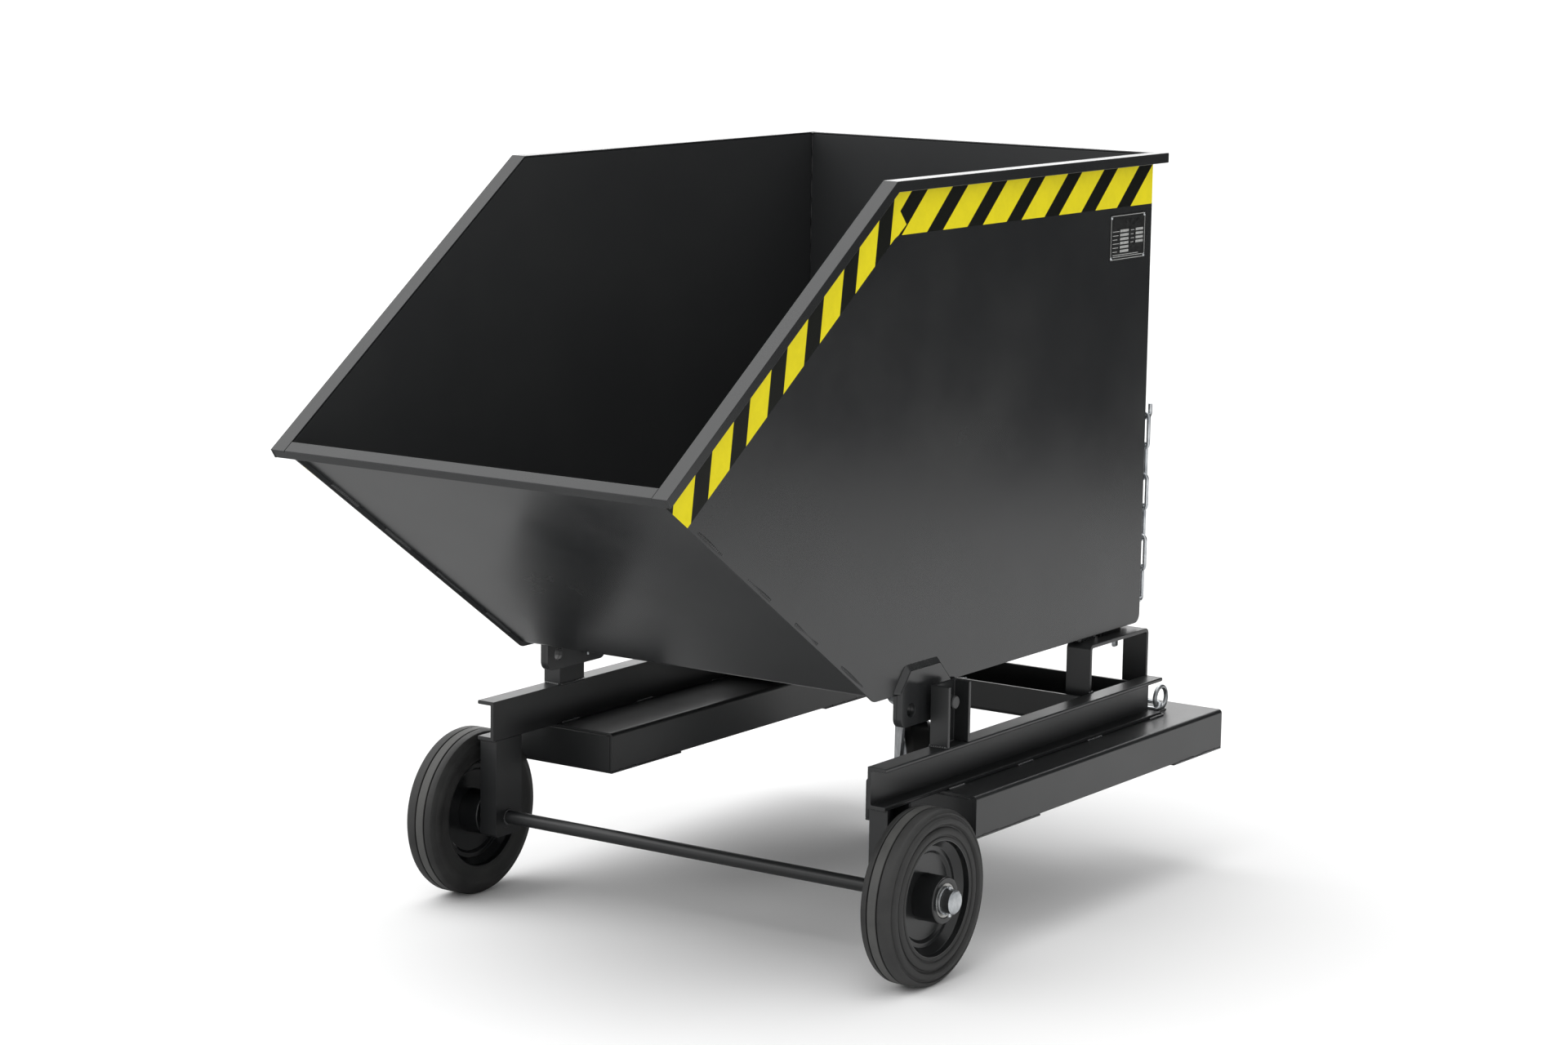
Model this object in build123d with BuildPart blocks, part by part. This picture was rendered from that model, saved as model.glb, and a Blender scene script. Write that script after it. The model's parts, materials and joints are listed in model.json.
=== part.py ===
from build123d import *
import os
from math import atan2, cos, pi, sin, tan

# Tipping skip trolley: a sheet-steel tub on a welded chassis with two wheels, one castor
# and two fork pockets. Millimetres, +Z up, the lip to -Y, +X the trolley's right-hand side.
# The origin is on the ground, under the middle of the bounding box.

os.makedirs("parts", exist_ok=True)

sides = (("left", -1), ("right", 1))
fit = 0.05              # radial running fit of a turning pair

# Chassis
axle_y = -164.0         # wheel axle, in front of the origin
axle_z = 125.0
rail_back = 330.0       # back of the rail's web, from the centre plane
rail_tip = 360.0        # tips of the rail's flanges
rail_low, rail_high = 245.0, 305.0
rail_wall = 6.0
rail_front, rail_rear = axle_y - 36, axle_y + 743

leg_front, leg_rear = axle_y - 29, axle_y + 31
leg_low = 98.0

bracket_front, bracket_rear = axle_y + 123, axle_y + 183
bracket_top = 393.0
pivot_y, pivot_z = axle_y + 153, 366.0
pin_radius = 10.0
pin_inner, pin_outer = 298.0, 354.0

pocket_inner, pocket_outer = 227.0, 413.0
pocket_low, pocket_high = 186.0, 245.0
pocket_wall = 5.0
pocket_front, pocket_rear = axle_y + 118, axle_y + 841
strap_front_length, strap_rear_length = 177.0, 150.0
strap_wall = 3.0

support_inner = 288.0   # bent flat bar beside the rail's web
support_front, support_rear = axle_y + 571, axle_y + 749
support_top, support_low = 378.5, 268.0
support_wall, support_bend = 6.0, 9.0

cross_front, cross_rear = axle_y + 541, axle_y + 691
cross_low, cross_high = 260.0, 305.0
cross_wall = 5.0
bolt_along, bolt_across = 105.0, 80.0  # castor bolt pattern
bolt_radius = 6.0

# Front wheels
wheel_x = 401.5
tyre_radius, tyre_half = 125.0, 28.0
tread_grooves, groove_depth, groove_width = (-11.5, 4.5), 3.0, 2.5
rim_radius, rim_opening = 86.0, 81.0    # seat of the tyre, and the mouth of the rim
rim_half, disc_half, disc_ridge = 25.0, 3.0, 7.0
hub_radius, hub_half = 33.0, 37.5
stub_radius, rod_radius = 17.0, 10.0
stub_end = 456.0
bearing_radius = 24.0

# Castor, swivelled a little under half way to the left
castor_y, castor_yaw = axle_y + 620, 40.0
castor_trail = 45.0
castor_radius, castor_half = 100.0, 24.0
castor_rim_radius = 70.0
castor_axle_radius = 8.0
kingpin_radius = 8.0

# Tub
plate_outer, sheet = 312.0, 3.0
floor_z, heel_y, back_y = 385.0, axle_y + 5, axle_y + 750
front_angle = 34.4 * pi / 180
rim_top, rim_bend_y, rim_back_y = 1108.0, axle_y + 8, axle_y + 760
lip_y, lip_z = axle_y - 513, 737.0
rim_outer, rim_skirt = 333.0, 15.0
wrap_inset, back_inset = 6.0, 2.0
rim_angle = atan2(rim_top - lip_z, rim_bend_y - lip_y)
plate_inner = plate_outer - sheet
skirt_inner = rim_outer - sheet

ear_wall, ear_back_wall = 8.0, 6.0
ear_front, ear_rear = axle_y + 63, axle_y + 205
ear_low, ear_high = 338.0, 418.0
ear_hole_y, ear_hole_z, ear_hole_radius = axle_y + 89, 361.0, 10.0

tape_width, tape_thick = 62.0, 0.4
chain_radius, chain_pitch, chain_width = 3.0, 48.0, 8.0  # wire radius, inner length and width


def station(y):
    """Plane square to the trolley's length at y; a negative extrusion runs to the rear."""
    return Plane.XZ.offset(-y)


def closed(*points):
    """A face with straight edges in the open sketch."""
    Polygon(*points, align=None)


def u_section(back, tip, low, high, wall):
    """An upright U with its web at back and its flanges out to tip."""
    web = back + wall if tip > back else back - wall
    closed((back, low), (tip, low), (tip, low + wall), (web, low + wall),
           (web, high - wall), (tip, high - wall), (tip, high), (back, high))


def castor_plane(plane):
    """A plane given in the castor's own frame, where it trails straight to the rear."""
    return Plane(Location((0, castor_y, 0), (0, 0, castor_yaw)) * plane.location)


def rim_line(depth):
    """Lip, bend and rear end of the rim's line, so far under the top of the rim."""
    return ((lip_y + depth * sin(rim_angle), lip_z - depth * cos(rim_angle)),
            (rim_bend_y + depth * tan(rim_angle / 2), rim_top - depth),
            (rim_back_y, rim_top - depth))


def front_top(depth, inset):
    """Where the front slope, moved inwards by inset, meets the rim's line at that depth."""
    heel = (heel_y + inset * tan(front_angle / 2), floor_z + inset)
    lip = rim_line(depth)[0]
    run = ((heel[0] - lip[0]) * sin(rim_angle) + (lip[1] - heel[1]) * cos(rim_angle)) / sin(
        rim_angle + front_angle)
    return (heel[0] - run * cos(front_angle), heel[1] + run * sin(front_angle))


def rim_band(upper, lower):
    """The strip between two depths under the rim's top, from the lip to the rear."""
    closed(*rim_line(upper), *reversed(rim_line(lower)))


# ---- Chassis rails, legs and brackets: one 60 x 30 x 6 channel section ----

for side, s in sides:
    with BuildPart() as rail:
        with BuildSketch(station(rail_front)):
            u_section(s * rail_back, s * rail_tip, rail_low, rail_high, rail_wall)
        extrude(amount=rail_front - rail_rear)
        fillet(rail.edges().filter_by(Axis.Y).group_by(Axis.X)[-1 if s > 0 else 0], radius=2)
    rail.part.label = f"side_rail_{side}"
    export_step(rail.part, f"parts/side_rail_{side}.step")

    with BuildPart() as leg:
        with BuildSketch(Plane.XY.offset(leg_low)):
            u_section(s * rail_back, s * rail_tip, leg_front, leg_rear, rail_wall)
        extrude(amount=rail_low - leg_low)
        with BuildSketch(Plane.YZ.offset(s * rail_back)):
            with Locations((axle_y, axle_z)):
                Circle(stub_radius)
        extrude(amount=s * rail_wall, mode=Mode.SUBTRACT)
        fillet(leg.edges().filter_by(Axis.X).group_by(Axis.Z)[0].sort_by(Axis.Y)[0], radius=5)
        fillet(leg.edges().filter_by(Axis.X).group_by(Axis.Z)[0].sort_by(Axis.Y)[-1], radius=5)
    leg.part.label = f"front_leg_{side}"
    export_step(leg.part, f"parts/front_leg_{side}.step")

    with BuildPart() as bracket:
        with BuildSketch(Plane.XY.offset(rail_high)):
            u_section(s * rail_back, s * rail_tip, bracket_front, bracket_rear, rail_wall)
        extrude(amount=bracket_top - rail_high)
        with BuildSketch(Plane.YZ.offset(s * rail_back)):
            with Locations((pivot_y, pivot_z)):
                Circle(pin_radius)
        extrude(amount=s * rail_wall, mode=Mode.SUBTRACT)
    bracket.part.label = f"pivot_bracket_{side}"
    export_step(bracket.part, f"parts/pivot_bracket_{side}.step")

    with BuildPart() as support:
        with BuildSketch(Plane.YZ.offset(s * support_inner)):
            with BuildLine():
                outer_bar = FilletPolyline((support_front, support_low), (support_front, support_top),
                                           (support_rear, support_top), (support_rear, support_low),
                                           radius=support_bend)
                inner_bar = FilletPolyline((support_front + support_wall, support_low),
                                           (support_front + support_wall, support_top - support_wall),
                                           (support_rear - support_wall, support_top - support_wall),
                                           (support_rear - support_wall, support_low),
                                           radius=support_bend - support_wall)
                Line(outer_bar @ 0, inner_bar @ 0)
                Line(outer_bar @ 1, inner_bar @ 1)
            make_face()
        extrude(amount=s * (rail_back - support_inner))
    support.part.label = f"rear_support_{side}"
    export_step(support.part, f"parts/rear_support_{side}.step")

# ---- Fork pockets: folded sheet, open below and at the rear, with two straps under each ----

for side, s in sides:
    with BuildPart() as pocket:
        with BuildSketch(station(pocket_front)):
            closed(*((s * x, z) for x, z in (
                (pocket_inner, pocket_low), (pocket_inner, pocket_high),
                (pocket_outer, pocket_high), (pocket_outer, pocket_low),
                (pocket_outer - pocket_wall, pocket_low),
                (pocket_outer - pocket_wall, pocket_high - pocket_wall),
                (pocket_inner + pocket_wall, pocket_high - pocket_wall),
                (pocket_inner + pocket_wall, pocket_low))))
        extrude(amount=pocket_front - pocket_rear)
        fillet(pocket.edges().filter_by(Axis.Y).group_by(Axis.Z)[-1], radius=6)
    pocket.part.label = f"fork_pocket_{side}"
    export_step(pocket.part, f"parts/fork_pocket_{side}.step")

pocket_middle = (pocket_inner + pocket_outer) / 2
pocket_clear = pocket_outer - pocket_inner - 2 * pocket_wall

with BuildPart() as stops:
    with BuildSketch(station(pocket_front)):
        for side, s in sides:
            with Locations((s * pocket_middle, (pocket_low + pocket_high - pocket_wall) / 2)):
                Rectangle(pocket_clear, pocket_high - pocket_wall - pocket_low)
    extrude(amount=-pocket_wall)
stops.part.label = "pocket_end_plates"
export_step(stops.part, "parts/pocket_end_plates.step")

with BuildPart() as straps:
    with BuildSketch(Plane.XY.offset(pocket_low - strap_wall)):
        for side, s in sides:
            with Locations((s * pocket_middle, pocket_front + strap_front_length / 2)):
                Rectangle(pocket_outer - pocket_inner, strap_front_length)
            with Locations((s * pocket_middle, pocket_rear - strap_rear_length / 2)):
                Rectangle(pocket_outer - pocket_inner, strap_rear_length)
    extrude(amount=strap_wall)
straps.part.label = "pocket_straps"
export_step(straps.part, "parts/pocket_straps.step")

# ---- Pivot pins, welded into the brackets, with a washer and a split pin inside ----

washer_gap, clip_radius, clip_half = 4.0, 1.6, 15.0
with BuildPart() as pins:
    for side, s in sides:
        with BuildSketch(Plane.YZ.offset(s * pin_inner)):
            with Locations((pivot_y, pivot_z)):
                Circle(pin_radius)
        extrude(amount=s * (pin_outer - pin_inner))
        with BuildSketch(Plane.XY.offset(pivot_z)):
            with Locations((s * (pin_inner + washer_gap / 2), pivot_y)):
                Circle(clip_radius)
        extrude(amount=pin_radius + 1, both=True, mode=Mode.SUBTRACT)
    chamfer(pins.edges().filter_by(GeomType.CIRCLE).group_by(Axis.X)[0], length=1.5)
    chamfer(pins.edges().filter_by(GeomType.CIRCLE).group_by(Axis.X)[-1], length=1.5)
pins.part.label = "pivot_pins"
export_step(pins.part, "parts/pivot_pins.step")

with BuildPart() as pin_clips:
    for side, s in sides:
        with BuildSketch(Plane.XY.offset(pivot_z - clip_half)):
            with Locations((s * (pin_inner + washer_gap / 2), pivot_y)):
                Circle(clip_radius)
        extrude(amount=2 * clip_half)
pin_clips.part.label = "pivot_split_pins"
export_step(pin_clips.part, "parts/pivot_split_pins.step")

# ---- Cross member: an open-topped folded trough between the rails ----

with BuildPart() as cross:
    with BuildSketch(Plane.YZ.offset(-rail_back)):
        closed((cross_front, cross_low), (cross_rear, cross_low), (cross_rear, cross_high),
               (cross_rear - cross_wall, cross_high), (cross_rear - cross_wall, cross_low + cross_wall),
               (cross_front + cross_wall, cross_low + cross_wall),
               (cross_front + cross_wall, cross_high), (cross_front, cross_high))
    extrude(amount=2 * rail_back)
    fillet(cross.edges().filter_by(Axis.X).group_by(Axis.Z)[0], radius=6)
    with Locations(Plane(Location((0, castor_y, cross_low + cross_wall)))):
        with GridLocations(bolt_along, bolt_across, 2, 2):
            Hole(bolt_radius)
cross.part.label = "castor_cross_member"
export_step(cross.part, "parts/castor_cross_member.step")

# ---- Castor mounting: the castor's top plate and four bolts ----

plate_long, plate_wide = 140.0, 110.0
top_plate_wall = 5.0
with BuildPart() as top_plate:
    with BuildSketch(Plane.XY.offset(cross_low - top_plate_wall)):
        with Locations((0, castor_y)):
            RectangleRounded(plate_long, plate_wide, 8)
            Circle(kingpin_radius, mode=Mode.SUBTRACT)
            with GridLocations(bolt_along, bolt_across, 2, 2):
                Circle(bolt_radius, mode=Mode.SUBTRACT)
    extrude(amount=top_plate_wall)
top_plate.part.label = "castor_top_plate"
export_step(top_plate.part, "parts/castor_top_plate.step")

nut_flats, nut_height, head_height = 19.0, 10.0, 7.5
bolt_spots = [(x, castor_y + y) for x in (-bolt_along / 2, bolt_along / 2)
              for y in (-bolt_across / 2, bolt_across / 2)]

with BuildPart() as bolts:
    with BuildSketch(Plane.XY.offset(cross_low - top_plate_wall - head_height)):
        with Locations(*bolt_spots):
            RegularPolygon(nut_flats / 2, 6, major_radius=False)
    extrude(amount=head_height)
    with BuildSketch(Plane.XY.offset(cross_low - top_plate_wall)):
        with Locations(*bolt_spots):
            Circle(bolt_radius)
    extrude(amount=top_plate_wall + cross_wall + nut_height + 3)
bolts.part.label = "castor_bolts"
export_step(bolts.part, "parts/castor_bolts.step")

with BuildPart() as nuts:
    with BuildSketch(Plane.XY.offset(cross_low + cross_wall)):
        with Locations(*bolt_spots):
            RegularPolygon(nut_flats / 2, 6, major_radius=False)
            Circle(bolt_radius, mode=Mode.SUBTRACT)
    extrude(amount=nut_height)
nuts.part.label = "castor_nuts"
export_step(nuts.part, "parts/castor_nuts.step")

# ---- Axle: a round rod between the legs, stepped up to a stub at each wheel ----

hub_outer_face = wheel_x + hub_half
washer_radius, washer_wall = 20.0, 3.0
split_radius = 2.5
split_x = hub_outer_face + washer_wall + split_radius + 1

with BuildPart() as axle:
    with BuildSketch(Plane.YZ.offset(-rail_back)):
        with Locations((axle_y, axle_z)):
            Circle(rod_radius)
    extrude(amount=2 * rail_back)
    for side, s in sides:
        with BuildSketch(Plane.YZ.offset(s * rail_back)):
            with Locations((axle_y, axle_z)):
                Circle(stub_radius)
        extrude(amount=s * (stub_end - rail_back))
        with BuildSketch(Plane.XY.offset(axle_z)):
            with Locations((s * split_x, axle_y)):
                Circle(split_radius)
        extrude(amount=stub_radius + 1, both=True, mode=Mode.SUBTRACT)
    ends = axle.edges().filter_by(GeomType.CIRCLE).group_by(Axis.X)
    chamfer(ends[0] + ends[-1], length=2)
axle.part.label = "wheel_axle"
export_step(axle.part, "parts/wheel_axle.step")

with BuildPart() as washers:
    for side, s in sides:
        for face in (hub_outer_face, wheel_x - hub_half - washer_wall):
            with BuildSketch(Plane.YZ.offset(s * face)):
                with Locations((axle_y, axle_z)):
                    Circle(washer_radius)
                    Circle(stub_radius, mode=Mode.SUBTRACT)
            extrude(amount=s * washer_wall)
washers.part.label = "axle_washers"
export_step(washers.part, "parts/axle_washers.step")

with BuildPart() as split_pins:
    for side, s in sides:
        with BuildSketch(Plane.XY.offset(axle_z - 22)):
            with Locations((s * split_x, axle_y)):
                Circle(split_radius)
        extrude(amount=43)
split_pins.part.label = "axle_split_pins"
export_step(split_pins.part, "parts/axle_split_pins.step")

# ---- Front wheels: rubber tyre, pressed steel rim and discs, hub tube, roller bearing ----

for side, s in sides:
    wheel_plane = Plane(origin=(s * wheel_x, axle_y, axle_z), x_dir=(0, 0, 1), z_dir=(0, -1, 0))
    spin = Axis((s * wheel_x, axle_y, axle_z), (1, 0, 0))

    with BuildPart() as tyre:
        with BuildSketch(wheel_plane):
            with BuildLine():
                FilletPolyline((rim_radius, -24), (104, -tyre_half), (118, -tyre_half),
                               (tyre_radius, -18), (tyre_radius, 18), (118, tyre_half),
                               (104, tyre_half), (rim_radius, 24), close=True, radius=3)
            make_face()
            for groove in tread_grooves:
                with Locations((tyre_radius, s * groove)):
                    Rectangle(2 * groove_depth, groove_width, mode=Mode.SUBTRACT)
        revolve(axis=spin)
    tyre.part.label = f"tyre_{side}"
    export_step(tyre.part, f"parts/tyre_{side}.step")

    with BuildPart() as rim:
        with BuildSketch(wheel_plane):
            closed((rim_opening, -rim_half), (rim_radius, -rim_half),
                   (rim_radius, rim_half), (rim_opening, rim_half))
            closed((hub_radius, -disc_half), (61, -disc_half), (65, -disc_ridge),
                   (71, -disc_ridge), (rim_opening, -16), (rim_opening, 16),
                   (71, disc_ridge), (65, disc_ridge), (61, disc_half), (hub_radius, disc_half))
        revolve(axis=spin)
    rim.part.label = f"wheel_rim_{side}"
    export_step(rim.part, f"parts/wheel_rim_{side}.step")

    with BuildPart() as hub:
        with BuildSketch(wheel_plane):
            Rectangle(2 * hub_radius, 2 * hub_half)
            with Locations((-hub_radius / 2, 0)):
                Rectangle(hub_radius, 2 * hub_half, mode=Mode.SUBTRACT)
            with Locations((bearing_radius / 2, 0)):
                Rectangle(bearing_radius, 2 * hub_half, mode=Mode.SUBTRACT)
        revolve(axis=spin)
        chamfer(hub.edges().filter_by(GeomType.CIRCLE), length=1.2)
    hub.part.label = f"wheel_hub_{side}"
    export_step(hub.part, f"parts/wheel_hub_{side}.step")

    bearing_inner = stub_radius + fit
    with BuildPart() as bearing:
        with BuildSketch(wheel_plane):
            with Locations(((bearing_inner + bearing_radius) / 2, 0)):
                Rectangle(bearing_radius - bearing_inner, 2 * hub_half - 1)
        revolve(axis=spin)
    bearing.part.label = f"hub_bearing_{side}"
    export_step(bearing.part, f"parts/hub_bearing_{side}.step")

# ---- Castor: fork on a kingpin, wheel on its own bolt, brake pedal on the trailing side ----

race_height, race_radius, swivel_gap = 17.0, 53.0, 0.3
crown_z = cross_low - top_plate_wall - race_height  # top of the fork, under the ball race
leg_gap = castor_half + 5.0
fork_wall = 4.0

with BuildPart() as race:
    with BuildSketch(Plane.XY.offset(crown_z)):
        with Locations((0, castor_y)):
            Circle(race_radius)
            Circle(30, mode=Mode.SUBTRACT)
    extrude(amount=race_height - swivel_gap)
    fillet(race.edges().filter_by(GeomType.CIRCLE).group_by(Axis.Z)[0].sort_by(SortBy.RADIUS)[-1],
           radius=6)
race.part.label = "castor_ball_race"
export_step(race.part, "parts/castor_ball_race.step")

with BuildPart() as kingpin:
    with BuildSketch(Plane.XY.offset(crown_z - 16)):
        with Locations((0, castor_y)):
            Circle(14)
    extrude(amount=16 - fork_wall - swivel_gap)
    with BuildSketch(Plane.XY.offset(crown_z - fork_wall - swivel_gap)):
        with Locations((0, castor_y)):
            Circle(kingpin_radius)
    extrude(amount=cross_low - crown_z + fork_wall + swivel_gap)
kingpin.part.label = "castor_kingpin"
export_step(kingpin.part, "parts/castor_kingpin.step")

leg_low_radius = 20.0
brake_y, brake_z = 40.0, 208.0  # shaft of the brake pedal, in the castor's own frame
brake_shaft_radius = 4.0
with BuildPart() as fork:
    with BuildSketch(castor_plane(Plane.YZ).offset(-leg_gap - fork_wall)):
        with BuildLine():
            nose = Line((-44, crown_z), (-40, crown_z - 22))
            throat = Line(nose @ 1, (castor_trail - leg_low_radius, castor_radius + 6))
            foot = ThreePointArc(throat @ 1, (castor_trail, castor_radius - leg_low_radius),
                                 (castor_trail + leg_low_radius, castor_radius + 6))
            Line(foot @ 1, (62, crown_z - 22))
            Line((62, crown_z - 22), (44, crown_z))
            Line((44, crown_z), nose @ 0)
        make_face()
    extrude(amount=2 * (leg_gap + fork_wall))
    with BuildSketch(castor_plane(Plane.YZ).offset(-leg_gap)):
        with Locations((0, (crown_z - fork_wall) / 2)):
            Rectangle(300, crown_z - fork_wall)
    extrude(amount=2 * leg_gap, mode=Mode.SUBTRACT)
    with BuildSketch(castor_plane(Plane.YZ).offset(-leg_gap - fork_wall)):
        with Locations((castor_trail, castor_radius)):
            Circle(castor_axle_radius)
    extrude(amount=2 * (leg_gap + fork_wall), mode=Mode.SUBTRACT)
    with BuildSketch(castor_plane(Plane.YZ).offset(-leg_gap)):
        with Locations((brake_y, brake_z)):
            Circle(brake_shaft_radius)
    extrude(amount=2 * leg_gap)
    with Locations(Plane(Location((0, castor_y, crown_z)))):
        Hole(kingpin_radius + fit, depth=20)
fork.part.label = "castor_fork"
export_step(fork.part, "parts/castor_fork.step")

castor_spin_plane = castor_plane(Plane(origin=(0, castor_trail, castor_radius), x_dir=(0, 0, 1),
                                       z_dir=(0, -1, 0)))
castor_spin = Axis(castor_spin_plane.origin, castor_spin_plane.y_dir)
castor_hub_radius = 22.0

with BuildPart() as castor_tyre:
    with BuildSketch(castor_spin_plane):
        with BuildLine():
            FilletPolyline((castor_rim_radius, -20), (84, -castor_half), (93, -castor_half),
                           (castor_radius, -14), (castor_radius, 14), (93, castor_half),
                           (84, castor_half), (castor_rim_radius, 20), close=True, radius=2.5)
        make_face()
    revolve(axis=castor_spin)
castor_tyre.part.label = "castor_tyre"
export_step(castor_tyre.part, "parts/castor_tyre.step")

with BuildPart() as castor_rim:
    with BuildSketch(castor_spin_plane):
        closed((castor_rim_radius - 4, -20), (castor_rim_radius, -20),
               (castor_rim_radius, 20), (castor_rim_radius - 4, 20))
        closed((castor_axle_radius + fit, -25), (castor_hub_radius, -25),
               (castor_hub_radius, 25), (castor_axle_radius + fit, 25))
        for face in (-1, 1):
            closed((castor_hub_radius, face * 6), (castor_hub_radius, face * 9), (46, face * 14),
                   (castor_rim_radius - 4, face * 14), (castor_rim_radius - 4, face * 11),
                   (47, face * 11))
    revolve(axis=castor_spin)
castor_rim.part.label = "castor_rim"
export_step(castor_rim.part, "parts/castor_rim.step")

with BuildPart() as castor_bolt:
    with BuildSketch(castor_plane(Plane.YZ).offset(-leg_gap - fork_wall)):
        with Locations((castor_trail, castor_radius)):
            Circle(castor_axle_radius)
    extrude(amount=2 * (leg_gap + fork_wall) + 12)
    with BuildSketch(castor_plane(Plane.YZ).offset(-leg_gap - fork_wall)):
        with Locations((castor_trail, castor_radius)):
            RegularPolygon(12, 6, major_radius=False)
    extrude(amount=-8)
castor_bolt.part.label = "castor_axle_bolt"
export_step(castor_bolt.part, "parts/castor_axle_bolt.step")

with BuildPart() as castor_nut:
    with BuildSketch(castor_plane(Plane.YZ).offset(leg_gap + fork_wall)):
        with Locations((castor_trail, castor_radius)):
            RegularPolygon(12, 6, major_radius=False)
            Circle(castor_axle_radius, mode=Mode.SUBTRACT)
    extrude(amount=9)
castor_nut.part.label = "castor_axle_nut"
export_step(castor_nut.part, "parts/castor_axle_nut.step")

with BuildPart() as pedal:
    with BuildSketch(castor_plane(Plane.YZ).offset(-19)):
        with BuildLine():
            FilletPolyline((31, 202.5), (31, 215), (66, 216), (126, 194), (134, 175), (122, 181),
                           (98, 197), (78, 204.5), (56, 202.5), close=True, radius=2)
        make_face()
        with Locations((brake_y, brake_z)):
            Circle(brake_shaft_radius + fit, mode=Mode.SUBTRACT)
    extrude(amount=38)
pedal.part.label = "castor_brake_pedal"
export_step(pedal.part, "parts/castor_brake_pedal.step")

# ---- Tub: two side plates and one sheet wrapped between them ----

for side, s in sides:
    with BuildPart() as plate:
        with BuildSketch(Plane.YZ.offset(s * plate_inner)):
            rim_under = rim_line(sheet)
            closed((heel_y, floor_z), front_top(sheet, 0), rim_under[1],
                   (back_y, rim_top - sheet), (back_y, floor_z))
        extrude(amount=s * sheet)
        heel_edges = plate.edges().filter_by(Axis.X).group_by(Axis.Z)[0].sort_by(Axis.Y)
        fillet(heel_edges[-1], radius=14)
        fillet(plate.edges().filter_by(Axis.X).group_by(Axis.Z)[0].sort_by(Axis.Y)[0], radius=20)
    plate.part.label = f"tub_side_{side}"
    export_step(plate.part, f"parts/tub_side_{side}.step")

    with BuildPart() as side_rim:
        with BuildSketch(Plane.YZ.offset(s * plate_inner)):
            rim_band(0, sheet)
        extrude(amount=s * (rim_outer - plate_inner))
        with BuildSketch(Plane.YZ.offset(s * (rim_outer - sheet))):
            rim_band(0, rim_skirt)
        extrude(amount=s * sheet)
        fillet(side_rim.edges().group_by(Axis.Z)[-1].filter_by(Axis.Y), radius=1.2)
    side_rim.part.label = f"tub_rim_{side}"
    export_step(side_rim.part, f"parts/tub_rim_{side}.step")

wrap_low = floor_z + wrap_inset
wrap_back = back_y - back_inset
heel_bend, back_bend = 28.0, 18.0

with BuildPart() as wrapper:
    with BuildSketch(Plane.YZ.offset(-plate_inner)):
        with BuildLine():
            outer_skin = FilletPolyline(front_top(sheet, wrap_inset),
                                        (heel_y + wrap_inset * tan(front_angle / 2), wrap_low),
                                        (wrap_back, wrap_low), (wrap_back, rim_top - sheet),
                                        radius=(heel_bend, back_bend))
            inner_skin = FilletPolyline(front_top(sheet, wrap_inset + sheet),
                                        (heel_y + (wrap_inset + sheet) * tan(front_angle / 2),
                                         wrap_low + sheet),
                                        (wrap_back - sheet, wrap_low + sheet),
                                        (wrap_back - sheet, rim_top - sheet),
                                        radius=(heel_bend - sheet, back_bend - sheet))
            Line(outer_skin @ 0, inner_skin @ 0)
            Line(outer_skin @ 1, inner_skin @ 1)
        make_face()
    extrude(amount=2 * plate_inner)
wrapper.part.label = "tub_wrapper"
export_step(wrapper.part, "parts/tub_wrapper.step")

lip_plane = Plane(origin=(-plate_inner, lip_y, lip_z), x_dir=(0, cos(rim_angle), sin(rim_angle)),
                  z_dir=(1, 0, 0))
lip_width = 20.0
with BuildPart() as front_rim:
    with BuildSketch(lip_plane):
        closed((0, 0), (lip_width, 0), (lip_width, -sheet), (0, -sheet))
    extrude(amount=2 * plate_inner)
    with BuildSketch(lip_plane.offset(plate_inner - skirt_inner)):
        closed((0, -sheet), (sheet, -sheet), (sheet, -rim_skirt), (0, -rim_skirt))
    extrude(amount=2 * skirt_inner)
front_rim.part.label = "tub_rim_front"
export_step(front_rim.part, "parts/tub_rim_front.step")

with BuildPart() as back_rim:
    with BuildSketch(Plane.YZ.offset(-plate_inner)):
        closed((wrap_back - sheet, rim_top - sheet), (wrap_back - sheet, rim_top),
               (rim_back_y, rim_top), (rim_back_y, rim_top - sheet))
    extrude(amount=2 * plate_inner)
    with BuildSketch(Plane.YZ.offset(-skirt_inner)):
        closed((rim_back_y, rim_top - sheet), (rim_back_y, rim_top - rim_skirt),
               (rim_back_y - sheet, rim_top - rim_skirt), (rim_back_y - sheet, rim_top - sheet))
    extrude(amount=2 * skirt_inner)
back_rim.part.label = "tub_rim_back"
export_step(back_rim.part, "parts/tub_rim_back.step")

# ---- Pivot ears: a thick outer plate on the tub's side, doubled below the floor ----

for side, s in sides:
    with BuildPart() as ear:
        with BuildSketch(Plane.YZ.offset(s * plate_outer)):
            closed((ear_front, ear_low), (ear_front, ear_high - 28), (ear_front + 24, ear_high),
                   (ear_rear - 42, ear_high), (ear_rear, ear_high - 42), (ear_rear, ear_low))
            with Locations((pivot_y, pivot_z)):
                Circle(pin_radius + fit, mode=Mode.SUBTRACT)
            with Locations((ear_hole_y, ear_hole_z)):
                Circle(ear_hole_radius, mode=Mode.SUBTRACT)
        extrude(amount=s * ear_wall)
        fillet(ear.edges().filter_by(Axis.X).group_by(Axis.Z)[0], radius=14)
    ear.part.label = f"pivot_ear_{side}"
    export_step(ear.part, f"parts/pivot_ear_{side}.step")

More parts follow.
